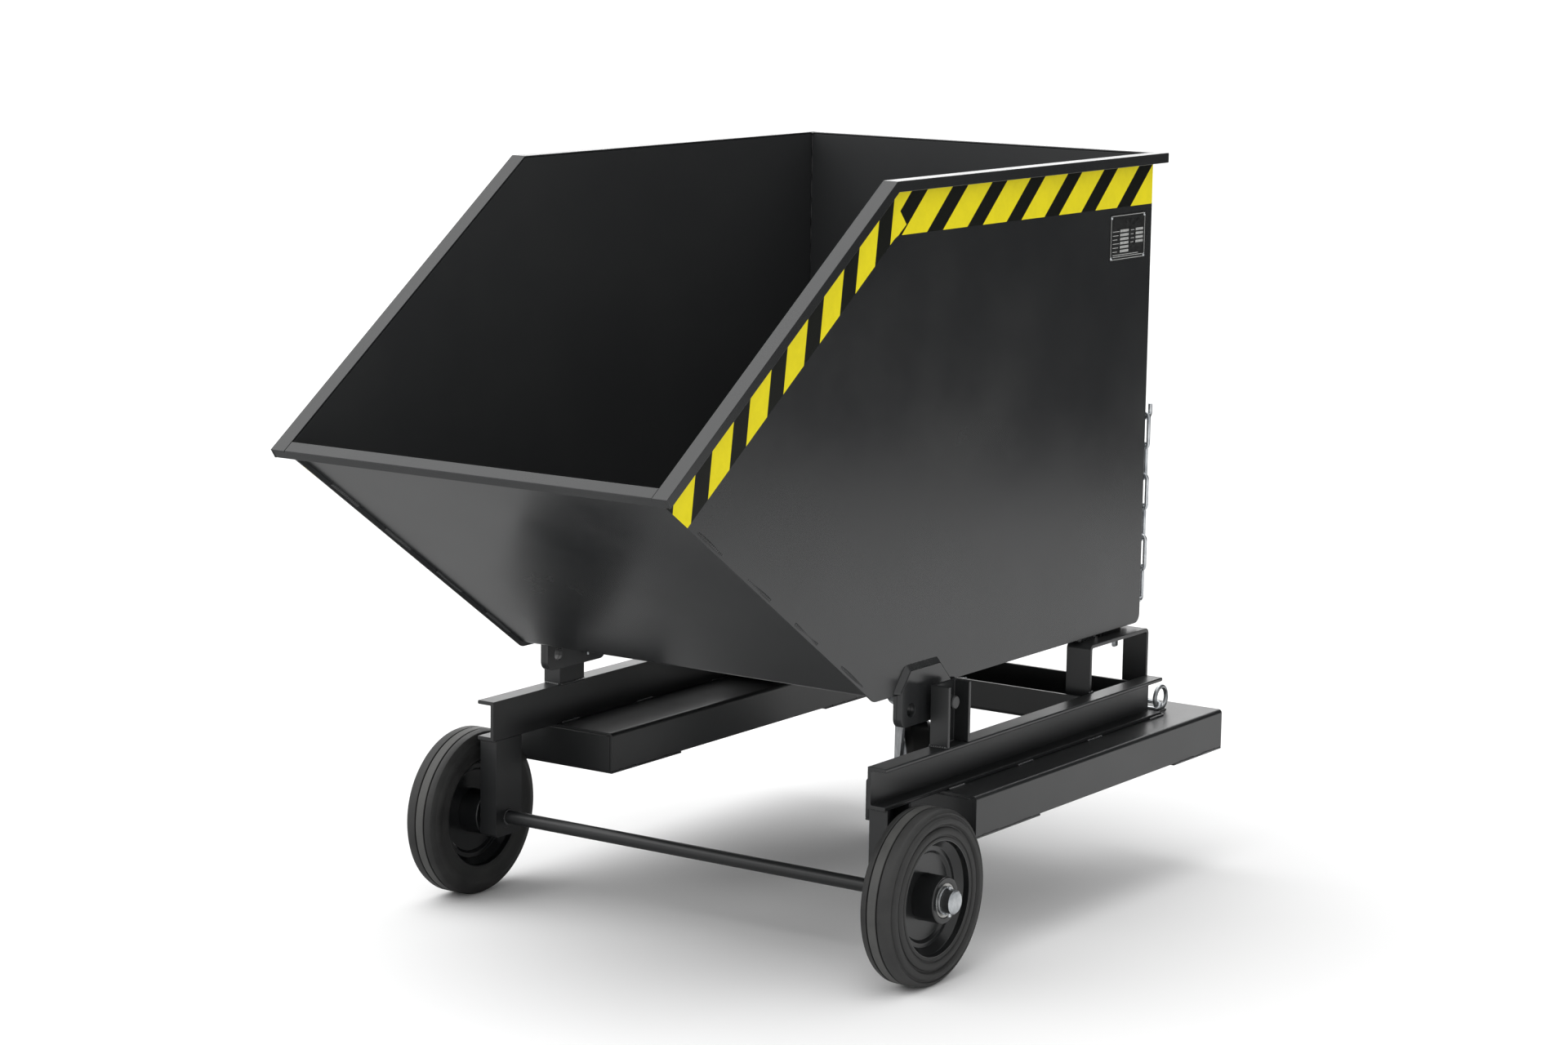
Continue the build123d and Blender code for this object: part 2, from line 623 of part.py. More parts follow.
with BuildPart() as ear_doublers:
    for side, s in sides:
        with BuildSketch(Plane.YZ.offset(s * (plate_outer - ear_back_wall))):
            with Locations(((ear_front + ear_rear) / 2, (ear_low + floor_z) / 2)):
                Rectangle(ear_rear - ear_front, floor_z - ear_low)
            with Locations((pivot_y, pivot_z)):
                Circle(pin_radius + fit, mode=Mode.SUBTRACT)
            with Locations((ear_hole_y, ear_hole_z)):
                Circle(ear_hole_radius, mode=Mode.SUBTRACT)
        extrude(amount=s * ear_back_wall)
    fillet(ear_doublers.edges().filter_by(Axis.X).group_by(Axis.Z)[0], radius=14)
ear_doublers.part.label = "pivot_ear_doublers"
export_step(ear_doublers.part, "parts/pivot_ear_doublers.step")

# ---- Rest pads under the tub's floor, above the rear supports ----

pad_x, pad_y, pad_wide, pad_long = 298.0, axle_y + 600, 18.0, 40.0
pad_low = support_top + 0.5
with BuildPart() as pads:
    with BuildSketch(Plane.XY.offset(pad_low)):
        for side, s in sides:
            with Locations((s * pad_x, pad_y)):
                RectangleRounded(pad_wide, pad_long, 3)
    extrude(amount=wrap_low - pad_low)
pads.part.label = "tub_rest_pads"
export_step(pads.part, "parts/tub_rest_pads.step")

# ---- Latch at the right support: a bolt slides forward through an eye under the tub ----

latch_x, latch_z = 299.0, 385.0
guide_front, guide_rear = axle_y + 652, axle_y + 704
latch_radius, latch_arm = 3.5, 7.0

with BuildPart() as guide:
    with BuildSketch(station(guide_front)):
        with Locations((latch_x, latch_z - 0.75)):
            Rectangle(12, 11.5)
        with Locations((latch_x, latch_z)):
            Circle(latch_radius + fit, mode=Mode.SUBTRACT)
    extrude(amount=guide_front - guide_rear)
guide.part.label = "latch_guide"
export_step(guide.part, "parts/latch_guide.step")

with BuildPart() as latch:
    with BuildSketch(station(guide_front - 2)):
        with Locations((latch_x, latch_z)):
            Circle(latch_radius)
    extrude(amount=guide_front - 2 - (guide_rear + 26))
    with BuildSketch(station(guide_rear + 22)):
        with Locations((latch_x - 9, latch_z)):
            Rectangle(18, 2 * latch_radius)
        with Locations((latch_x - 17.5, latch_z - 18)):
            RectangleRounded(latch_arm, 2 * latch_radius + 36, 3)
    extrude(amount=-2 * latch_radius)
latch.part.label = "latch_bolt"
export_step(latch.part, "parts/latch_bolt.step")

eye_front, eye_wall = guide_front - 14, 6.0
with BuildPart() as latch_eye:
    with BuildSketch(station(eye_front)):
        with Locations((latch_x, (wrap_low + pad_low) / 2)):
            Rectangle(16, wrap_low - pad_low)
        with Locations((latch_x, latch_z)):
            Circle(latch_radius + 1, mode=Mode.SUBTRACT)
    extrude(amount=-eye_wall)
latch_eye.part.label = "latch_eye"
export_step(latch_eye.part, "parts/latch_eye.step")

# ---- Type plate and warning tape ----

plate_middle, plate_size = (axle_y + 677, 986.0), (106, 69)
with BuildPart() as type_plate:
    with BuildSketch(Plane.YZ.offset(plate_outer)):
        with Locations(plate_middle):
            RectangleRounded(*plate_size, 2)
    extrude(amount=0.8)
type_plate.part.label = "type_plate"
export_step(type_plate.part, "parts/type_plate.step")

tape_upper = sheet + 1.0
tape_lower = rim_skirt + tape_width
for side, s in sides:
    with BuildPart() as tape:
        with BuildSketch(Plane.YZ.offset(s * plate_outer)):
            edge_point = front_top(tape_upper, 1)
            edge_low = front_top(tape_lower, 1)
            closed(edge_point, rim_line(tape_upper)[1], (back_y - 1, rim_top - tape_upper),
                   (back_y - 1, rim_top - tape_lower), rim_line(tape_lower)[1], edge_low)
        extrude(amount=s * tape_thick)
    tape.part.label = f"warning_tape_{side}"
    export_step(tape.part, f"parts/warning_tape_{side}.step")

# ---- Push handle on the back wall ----

handle_half, handle_z, handle_reach = 170.0, 960.0, 80.0
handle_radius = 13.5
with BuildPart() as handle:
    with BuildLine():
        FilletPolyline((-handle_half, back_y - back_inset, handle_z),
                       (-handle_half, back_y + handle_reach - handle_radius, handle_z),
                       (handle_half, back_y + handle_reach - handle_radius, handle_z),
                       (handle_half, back_y - back_inset, handle_z), radius=35)
    with BuildSketch(Plane(origin=(-handle_half, back_y - back_inset, handle_z), z_dir=(0, 1, 0))):
        Circle(handle_radius)
    sweep()
handle.part.label = "push_handle"
export_step(handle.part, "parts/push_handle.step")

# ---- Lashing chain: an eye on the right pocket, a hook on the tub, a strand on each ----


def link(middle, along, across):
    """A long link of round wire, its length along one direction and its width across."""
    plane = Plane(origin=middle, x_dir=along, z_dir=Vector(*along).cross(Vector(*across)))
    bend = chain_width / 2 + chain_radius
    half = chain_pitch / 2 + chain_radius - bend
    corners = [plane.from_local_coords(Vector(x, y, 0)) for x, y in (
        (-half, bend), (half, bend), (half + bend, 0), (half, -bend), (-half, -bend),
        (-half - bend, 0))]
    with BuildPart(mode=Mode.PRIVATE) as one:
        with BuildLine():
            Line(corners[0], corners[1])
            ThreePointArc(corners[1], corners[2], corners[3])
            Line(corners[3], corners[4])
            ThreePointArc(corners[4], corners[5], corners[0])
        with BuildSketch(Plane(origin=corners[0], z_dir=along)):
            Circle(chain_radius)
        sweep()
    return one.part


hook_x, hook_z, chain_y = 303.0, 701.0, back_y + 14
hook_radius = 3.5
with BuildPart() as hook:
    with BuildLine():
        FilletPolyline((hook_x, back_y - back_inset, hook_z), (hook_x, chain_y + 16, hook_z),
                       (hook_x, chain_y + 16, hook_z + 20), radius=8)
    with BuildSketch(Plane(origin=(hook_x, back_y - back_inset, hook_z), z_dir=(0, 1, 0))):
        Circle(hook_radius)
    sweep()
hook.part.label = "chain_hook"
export_step(hook.part, "parts/chain_hook.step")

link_top = hook_z + hook_radius + 0.3 - chain_pitch / 2
link_step = chain_pitch - 0.5
with BuildPart() as tub_chain:
    for i in range(6):
        turned = (1, 0, 0) if i % 2 == 0 else (0, 1, 0)
        add(link((hook_x, chain_y, link_top - i * link_step), (0, 0, 1), turned))
tub_chain.part.label = "tub_chain"
export_step(tub_chain.part, "parts/tub_chain.step")

eye_x, eye_y, eye_radius, eye_wire = 340.0, axle_y + 774, 17.5, 3.5
eye_z = pocket_high + eye_radius + eye_wire - 0.8
with BuildPart() as ring_eye:
    with Locations(Plane(origin=(eye_x, eye_y, eye_z), z_dir=(1, 0, 0))):
        Torus(eye_radius, eye_wire)
    with BuildSketch(Plane.XY.offset(pocket_high)):
        with Locations((eye_x, eye_y)):
            Rectangle(60, 60)
    extrude(amount=-20, mode=Mode.SUBTRACT)
ring_eye.part.label = "lashing_eye"
export_step(ring_eye.part, "parts/lashing_eye.step")

# the first link goes round the eye's wire, low at the front, and the others lie beside it
lean = 215 * pi / 180
strand_y, strand_z = eye_y + eye_radius * cos(lean), eye_z + eye_radius * sin(lean)
strand_x = eye_x + eye_wire + 0.5 - chain_pitch / 2
radial, tangent = (0, cos(lean), sin(lean)), (0, -sin(lean), cos(lean))
with BuildPart() as eye_chain:
    for i in range(3):
        add(link((strand_x - i * link_step, strand_y, strand_z), (1, 0, 0),
                 tangent if i == 1 else radial))
eye_chain.part.label = "lashing_eye_chain"
export_step(eye_chain.part, "parts/lashing_eye_chain.step")
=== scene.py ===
import json
import random
from math import atan2, cos, hypot, pi, radians, sin, tan

import bpy
from mathutils import Matrix, Vector


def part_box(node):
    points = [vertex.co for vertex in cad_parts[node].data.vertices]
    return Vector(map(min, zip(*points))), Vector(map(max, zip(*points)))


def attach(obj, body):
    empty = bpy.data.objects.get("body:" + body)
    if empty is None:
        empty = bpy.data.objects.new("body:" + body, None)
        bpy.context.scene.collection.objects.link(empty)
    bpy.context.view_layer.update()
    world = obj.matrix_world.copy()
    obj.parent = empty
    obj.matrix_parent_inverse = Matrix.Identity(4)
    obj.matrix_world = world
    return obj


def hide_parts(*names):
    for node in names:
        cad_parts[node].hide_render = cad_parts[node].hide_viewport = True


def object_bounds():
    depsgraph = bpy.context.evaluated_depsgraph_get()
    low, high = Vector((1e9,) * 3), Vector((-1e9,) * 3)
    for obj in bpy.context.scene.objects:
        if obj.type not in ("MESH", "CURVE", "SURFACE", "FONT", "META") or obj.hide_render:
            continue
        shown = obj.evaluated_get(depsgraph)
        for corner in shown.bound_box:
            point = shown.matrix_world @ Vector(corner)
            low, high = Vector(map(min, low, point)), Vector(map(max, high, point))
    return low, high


# A tipping skip trolley: sheet-steel tub, welded chassis, two rubber wheels and a castor.
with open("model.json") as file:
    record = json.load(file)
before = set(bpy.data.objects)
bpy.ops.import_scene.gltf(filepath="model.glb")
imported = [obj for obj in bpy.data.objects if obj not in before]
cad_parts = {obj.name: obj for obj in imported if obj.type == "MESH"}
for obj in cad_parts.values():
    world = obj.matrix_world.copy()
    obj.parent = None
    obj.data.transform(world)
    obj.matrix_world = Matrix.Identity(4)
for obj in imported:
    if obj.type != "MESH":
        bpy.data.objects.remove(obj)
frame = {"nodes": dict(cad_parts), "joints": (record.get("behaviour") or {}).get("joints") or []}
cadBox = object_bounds()
nodes = frame["nodes"]
joints = {joint["name"]: joint for joint in frame["joints"]}
sides = (("left", -1), ("right", 1))
mm = 0.001
random.seed(7)
print("frame loaded,", len(nodes), "nodes")

cameraFacts = {"place": (3.1515, -4.5187, 1.5220), "azimuth": 34.49, "elevation": 9.66,
               "roll": 0.857, "lens": 88.17, "sensor": 36.0}


# Small helpers for materials.

def linearColour(hexValue):  # a screen colour turned to the linear light that shaders want
    channels = [int(hexValue[i:i + 2], 16) / 255 for i in (1, 3, 5)]
    return tuple(c / 12.92 if c <= 0.04045 else ((c + 0.055) / 1.055) ** 2.4
                 for c in channels) + (1.0,)


def addNode(tree, kind, settings=None, values=None, links=None):
    node = tree.nodes.new(kind)
    for key, value in (settings or {}).items():
        setattr(node, key, value)
    for key, value in (values or {}).items():
        node.inputs[key].default_value = value
    for key, socket in (links or {}).items():
        tree.links.new(socket, node.inputs[key])
    return node


def newMaterial(name, **constants):
    material = bpy.data.materials.new(name)
    material.use_nodes = True
    tree = material.node_tree
    shader = tree.nodes["Principled BSDF"]
    for key, value in constants.items():
        shader.inputs[key.replace("_", " ")].default_value = value
    place = addNode(tree, "ShaderNodeTexCoord").outputs["Object"]
    return material, tree, shader, place


def remap(tree, socket, fromLow, fromHigh, low, high):
    return addNode(tree, "ShaderNodeMapRange", values={
        "From Min": fromLow, "From Max": fromHigh, "To Min": low, "To Max": high},
        links={"Value": socket}).outputs["Result"]


def grain(tree, place, size, detail=2.0, roughness=0.5):  # noise whose spots are about size across
    return addNode(tree, "ShaderNodeTexNoise", values={
        "Scale": 0.5 / size, "Detail": detail, "Roughness": roughness},
        links={"Vector": place}).outputs["Fac"]


def blendColours(tree, factor, first, second):
    mixed = addNode(tree, "ShaderNodeMix", settings={"data_type": "RGBA"}, links={0: factor})
    for socket, colour in ((mixed.inputs[6], first), (mixed.inputs[7], second)):
        if isinstance(colour, str):
            socket.default_value = linearColour(colour)
        else:
            tree.links.new(colour, socket)
    return mixed.outputs[2]


def roughen(tree, shader, height, depth):
    bump = addNode(tree, "ShaderNodeBump", values={"Strength": 1.0, "Distance": depth},
                   links={"Height": height})
    tree.links.new(bump.outputs["Normal"], shader.inputs["Normal"])


# Polyester powder coat on steel, sprayed and baked: an even black skin with a soft sheen and a
# faint orange peel, a little dust in it and small rubs where it has been handled.
# On the coat over welds the paler spots are also a painted glint.
def powderCoat(name, colour, paler, roughest, peel=2.0, peelDepth=0.002, gloss=1.5):
    material, tree, shader, place = newMaterial(name, IOR=gloss)
    cloud = grain(tree, place, 140 * mm, 5.0, 0.62)
    speck = grain(tree, place, 1.4 * mm, 1.0)
    # spots of the paler colour: dust on every coat, and on the coat over welds a painted glint
    dustAndGlint = addNode(tree, "ShaderNodeMath", settings={"operation": "MULTIPLY"},
                   links={0: remap(tree, cloud, 0.42, 0.72, 0.0, 0.8),
                          1: remap(tree, speck, 0.30, 0.75, 0.7, 1.0)}).outputs[0]
    tree.links.new(blendColours(tree, dustAndGlint, colour, paler), shader.inputs["Base Color"])
    tree.links.new(remap(tree, cloud, 0.3, 0.7, roughest - 0.09, roughest),
                   shader.inputs["Roughness"])
    roughen(tree, shader, grain(tree, place, peel * mm, 1.0), peelDepth * mm)
    return material


# Electroplated zinc, passivated: pale grey metal with a slight cloudiness and fine scratches.
def zincPlate(name, colour="#c9ccce", shade="#9b9fa3", roughest=0.42):
    material, tree, shader, place = newMaterial(name, Metallic=1.0)
    cloud = grain(tree, place, 9 * mm, 4.0, 0.6)
    tree.links.new(blendColours(tree, remap(tree, cloud, 0.35, 0.7, 0.0, 1.0), colour, shade),
                   shader.inputs["Base Color"])
    tree.links.new(remap(tree, cloud, 0.3, 0.7, roughest - 0.14, roughest),
                   shader.inputs["Roughness"])
    roughen(tree, shader, grain(tree, place, 1.6 * mm, 3.0, 0.7), 0.03 * mm)
    return material


# Solid rubber, pressed in a mould: deep black and dull, greyed by dust in cloudy patches.
def mouldedRubber(name, colour, paler):
    material, tree, shader, place = newMaterial(name, IOR=1.52)
    cloud = grain(tree, place, 30 * mm, 6.0, 0.65)
    pits = grain(tree, place, 1.5 * mm, 2.0)
    tree.links.new(blendColours(tree, remap(tree, cloud, 0.35, 0.75, 0.0, 1.0), colour, paler),
                   shader.inputs["Base Color"])
    tree.links.new(remap(tree, cloud, 0.3, 0.7, 0.5, 0.68), shader.inputs["Roughness"])
    roughen(tree, shader, pits, 0.05 * mm)
    return material


# Printed vinyl tape: flat yellow and black stripes with a thin glossy film over them.
def hazardTape(name, lean, start, period, share):
    material, tree, shader, place = newMaterial(name, IOR=1.48, Specular_IOR_Level=0.16)
    parts = addNode(tree, "ShaderNodeSeparateXYZ", links={"Vector": place}).outputs
    along = addNode(tree, "ShaderNodeMath", settings={"operation": "MULTIPLY"},
                    values={1: sin(lean) / period}, links={0: parts["Y"]}).outputs[0]
    across = addNode(tree, "ShaderNodeMath", settings={"operation": "MULTIPLY_ADD"},
                     values={1: -cos(lean) / period, 2: 100.0 - start / period},
                     links={0: parts["Z"]}).outputs[0]
    total = addNode(tree, "ShaderNodeMath", settings={"operation": "ADD"},
                    links={0: along, 1: across}).outputs[0]
    turn = addNode(tree, "ShaderNodeMath", settings={"operation": "FRACT"},
                   links={0: total}).outputs[0]
    stripe = addNode(tree, "ShaderNodeMath", settings={"operation": "GREATER_THAN"},
                     values={1: share}, links={0: turn}).outputs[0]
    worn = grain(tree, place, 18 * mm, 6.0, 0.7)
    yellow = blendColours(tree, remap(tree, worn, 0.4, 0.8, 0.0, 1.0), "#e3d400", "#d6c800")
    tree.links.new(blendColours(tree, stripe, yellow, "#0c0e09"), shader.inputs["Base Color"])
    tree.links.new(remap(tree, worn, 0.3, 0.7, 0.38, 0.5), shader.inputs["Roughness"])
    roughen(tree, shader, grain(tree, place, 12 * mm, 2.0), 0.05 * mm)
    return material


# Screen-printed ink on the plate: flat, slightly uneven at its edges.
def printedInk(name, colour, faded):
    material, tree, shader, place = newMaterial(name, IOR=1.5)
    patch = grain(tree, place, 3 * mm, 4.0)
    tree.links.new(blendColours(tree, remap(tree, patch, 0.35, 0.75, 0.0, 1.0), colour, faded),
                   shader.inputs["Base Color"])
    tree.links.new(remap(tree, patch, 0.3, 0.7, 0.35, 0.5), shader.inputs["Roughness"])
    roughen(tree, shader, patch, 0.01 * mm)
    return material


coatTub = powderCoat("powderCoatTub", "#242526", "#2b2c2c", 0.28, gloss=1.42)
# a rougher coat for the inner faces, lighter in colour as painted light for the shade inside the
# tub
coatInsidePaintedLight = powderCoat("powderCoatInsidePaintedLight", "#323334", "#373838", 0.5, gloss=1.42)
coatChassis = powderCoat("powderCoatChassis", "#1c1d1e", "#242525", 0.42)
# the coat over welds has a lighter base and a paler colour: a painted glint on the beads, with
# dust in it
coatWeldPaintedGlint = powderCoat("powderCoatOverWeldPaintedGlint", "#2a2b2c", "#3f3f3e", 0.30, 1.4, 0.04)
coatWheel = powderCoat("powderCoatWheel", "#161718", "#202121", 0.26, 1.6)
zinc = zincPlate("zincPlatedSteel")
zincDull = zincPlate("zincPlatedForging", "#aeb1b3", "#7f8386", 0.52)
rollerSteel = zincPlate("groundBearingSteel", "#b4b4b2", "#8c8b88", 0.34)
rubber = mouldedRubber("mouldedTyreRubber", "#161616", "#2e2e2d")
# a lighter rubber for the band between the tread grooves
rubberLighterBand = mouldedRubber("mouldedTyreRubberLighterBand", "#3b3b3a", "#4c4c4a")
plateBlack = printedInk("anodisedPlateBlack", "#0d0e0e", "#1a1b1b")
plateInk = printedInk("anodisedPlatePrint", "#a9aaa8", "#8b8c8a")
print("materials made")


# Small helpers for modelling.

def pick(*objects):
    if bpy.context.mode != "OBJECT":
        bpy.ops.object.mode_set(mode="OBJECT")
    bpy.ops.object.select_all(action="DESELECT")
    for each in objects:
        each.select_set(True)
    bpy.context.view_layer.objects.active = objects[-1]


def named(name):
    piece = bpy.context.object
    piece.name = name
    piece.data.name = name
    return piece


def finished(piece, material, body, sharp=35, replaced=(), flat=False):
    pick(piece)
    bpy.ops.object.transform_apply(location=True, rotation=True, scale=True)
    bpy.ops.object.shade_smooth_by_angle(angle=radians(sharp))
    if flat:
        apply(piece, "WEIGHTED_NORMAL", keep_sharp=True, weight=100)
    piece.data.materials.clear()
    piece.data.materials.append(material)
    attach(piece, body)
    if replaced:
        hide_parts(*replaced)
    return piece


def apply(piece, kind, **settings):
    pick(piece)
    modifier = piece.modifiers.new(kind.title(), kind)
    for key, value in settings.items():
        setattr(modifier, key, value)
    bpy.ops.object.modifier_apply(modifier=modifier.name)


def recalculated(piece, weld=0.01 * mm):
    pick(piece)
    bpy.ops.object.mode_set(mode="EDIT")
    bpy.ops.mesh.select_all(action="SELECT")
    bpy.ops.mesh.remove_doubles(threshold=weld)
    bpy.ops.mesh.normals_make_consistent(inside=False)
    bpy.ops.object.mode_set(mode="OBJECT")
    return piece


# A copy of a node with its sharp edges rounded, as sheared and ground steel has them.
def softened(node, name, width, material, body, segments=2, sharp=32):
    piece = bpy.data.objects.new(name, nodes[node].data.copy())
    bpy.context.scene.collection.objects.link(piece)
    pick(piece)
    bpy.ops.mesh.customdata_custom_splitnormals_clear()
    bpy.ops.object.mode_set(mode="EDIT")
    bpy.ops.mesh.select_all(action="SELECT")
    bpy.ops.mesh.remove_doubles(threshold=0.004 * mm)
    bpy.ops.mesh.dissolve_limited(angle_limit=radians(0.6))
    bpy.ops.object.mode_set(mode="OBJECT")
    apply(piece, "BEVEL", width=width * mm, segments=segments, limit_method="ANGLE",
          angle_limit=radians(sharp), harden_normals=False)
    return finished(piece, material, body, sharp, (node,), True)


def turned(name, profile, centre, direction=(1, 0, 0), steps=72):
    # profile: (distance along the axis, radius) in mm; the first and last points may lie on it
    axis = Vector(direction).normalized()
    outwards = axis.orthogonal().normalized()
    spots = [Vector(centre) + axis * along * mm + outwards * radius * mm
             for along, radius in profile]
    bpy.ops.mesh.primitive_plane_add(size=mm, location=spots[0])
    piece = named(name)
    bpy.ops.object.transform_apply(location=True, rotation=True, scale=True)
    bpy.ops.object.mode_set(mode="EDIT")
    bpy.ops.mesh.select_all(action="SELECT")
    bpy.ops.mesh.merge(type="CENTER")
    for here, there in zip(spots, spots[1:]):
        bpy.ops.mesh.extrude_region_move(TRANSFORM_OT_translate={"value": there - here})
    bpy.ops.mesh.select_all(action="SELECT")
    bpy.ops.mesh.spin(steps=steps, angle=2 * pi, center=Vector(centre), axis=axis)
    bpy.ops.object.mode_set(mode="OBJECT")
    return recalculated(piece)


def outlined(name, points, depth):
    # a flat piece with that outline, pushed out along depth
    bpy.ops.mesh.primitive_circle_add(vertices=len(points), radius=1.0, fill_type="NGON")
    piece = named(name)
    for vertex, point in zip(piece.data.vertices, points):
        vertex.co = Vector(point)
    bpy.ops.object.mode_set(mode="EDIT")
    bpy.ops.mesh.select_all(action="SELECT")
    bpy.ops.mesh.extrude_region_move(TRANSFORM_OT_translate={"value": Vector(depth)})
    bpy.ops.object.mode_set(mode="OBJECT")
    return recalculated(piece)


# A run of overlapping weld ripples from one point to another.
def weldBead(start, end, size, detail=2, flat=0.75):
    start, end = Vector(start), Vector(end)
    run = end - start
    pitch = size * 0.85
    count = max(2, round(run.length / pitch))
    bpy.ops.mesh.primitive_ico_sphere_add(subdivisions=detail, radius=size, location=(0, 0, 0))
    bead = bpy.context.object
    for vertex in bead.data.vertices:
        vertex.co *= 1 + 0.16 * (random.random() - 0.5)
    bead.scale = (1.0, 1.0, flat)
    bead.location = start
    bpy.ops.object.transform_apply(location=True, rotation=True, scale=True)
    apply(bead, "ARRAY", count=count, use_relative_offset=False, use_constant_offset=True,
          constant_offset_displace=run / max(1, count - 1))
    for vertex in bead.data.vertices:
        wave = sin(vertex.co.dot(run.normalized()) / (size * 3.1)) * 0.12 * size
        vertex.co += Vector((wave, -wave, wave))
    return bead


def joined(name, pieces):
    pick(*pieces)
    if len(pieces) > 1:
        bpy.ops.object.join()
    return named(name)


# Tub: side plates, wrapped sheet and rim, all of 3 mm steel.

tubFacts = {"sheetEdge": 0.7, "rimEdge": 1.6, "earEdge": 1.0, "padEdge": 1.0, "eyeEdge": 0.8,
            "wall": 3 * mm}
for side, s in sides:
    plate = softened(f"tub_side_{side}", f"tubSidePlate_{side}", tubFacts["sheetEdge"], coatTub,
                     "tub")
    plate.data.materials.append(coatInsidePaintedLight)  # the inner faces take a rougher coat, lighter in colour as painted light for the shaded inside
    for face in plate.data.polygons:
        face.material_index = int(s * face.normal.x < -0.9)
    softened(f"tub_rim_{side}", f"tubRim_{side}", tubFacts["rimEdge"], coatTub,
             "tub", 3)
    softened(f"pivot_ear_{side}", f"pivotEar_{side}", tubFacts["earEdge"], coatTub,
             "tub")
wrapped = softened("tub_wrapper", "tubWrappedSheet", tubFacts["sheetEdge"], coatTub,
                   "tub")
wrapped.data.materials.append(coatInsidePaintedLight)
tubMiddle = sum(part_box("tub_wrapper"), Vector()) / 2
# the wrapped sheet's inner faces take the lighter inside coat, which is painted light
for face in wrapped.data.polygons:
    inwards = face.normal.dot(tubMiddle - face.center) > 0
    face.material_index = int(inwards and abs(face.normal.x) < 0.5)
softened("tub_rim_front", "tubRimFront", tubFacts["rimEdge"], coatTub, "tub", 3)
softened("tub_rim_back", "tubRimBack", tubFacts["rimEdge"], coatTub, "tub", 3)
softened("pivot_ear_doublers", "pivotEarDoublers", tubFacts["earEdge"], coatTub,
         "tub")
softened("tub_rest_pads", "tubRestPads", tubFacts["padEdge"], coatTub, "tub")
softened("latch_eye", "latchEye", tubFacts["eyeEdge"], coatTub, "tub")

sideLow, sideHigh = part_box("tub_side_right")
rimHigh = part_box("tub_rim_right")[1]
wrapLow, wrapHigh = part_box("tub_wrapper")
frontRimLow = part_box("tub_rim_front")[0]
plateInner, plateOuter = sideLow.x, sideHigh.x
floorTop, rimTop = wrapLow.z + tubFacts["wall"], rimHigh.z
backInner = wrapHigh.y - tubFacts["wall"]
slopeFacts = {"angle": radians(34.4), "heelY": -159 * mm, "rimBendY": -156 * mm,
              "inset": 6 * mm, "lipY": -677 * mm, "lipZ": 737 * mm, "topY": -640 * mm}
slope = slopeFacts["angle"]
rimSlope = atan2(rimTop - slopeFacts["lipZ"], slopeFacts["rimBendY"] - slopeFacts["lipY"])
heelY, heelZ = slopeFacts["heelY"], sideLow.z


def onSlope(run, inset):  # a point on the front slope, so far up it and so far in from its edge
    turnIn = inset * tan(slope / 2)
    return (heelY + turnIn - run * cos(slope), heelZ + inset + run * sin(slope))


slopeLength = (heelY - slopeFacts["topY"]) / cos(slope)

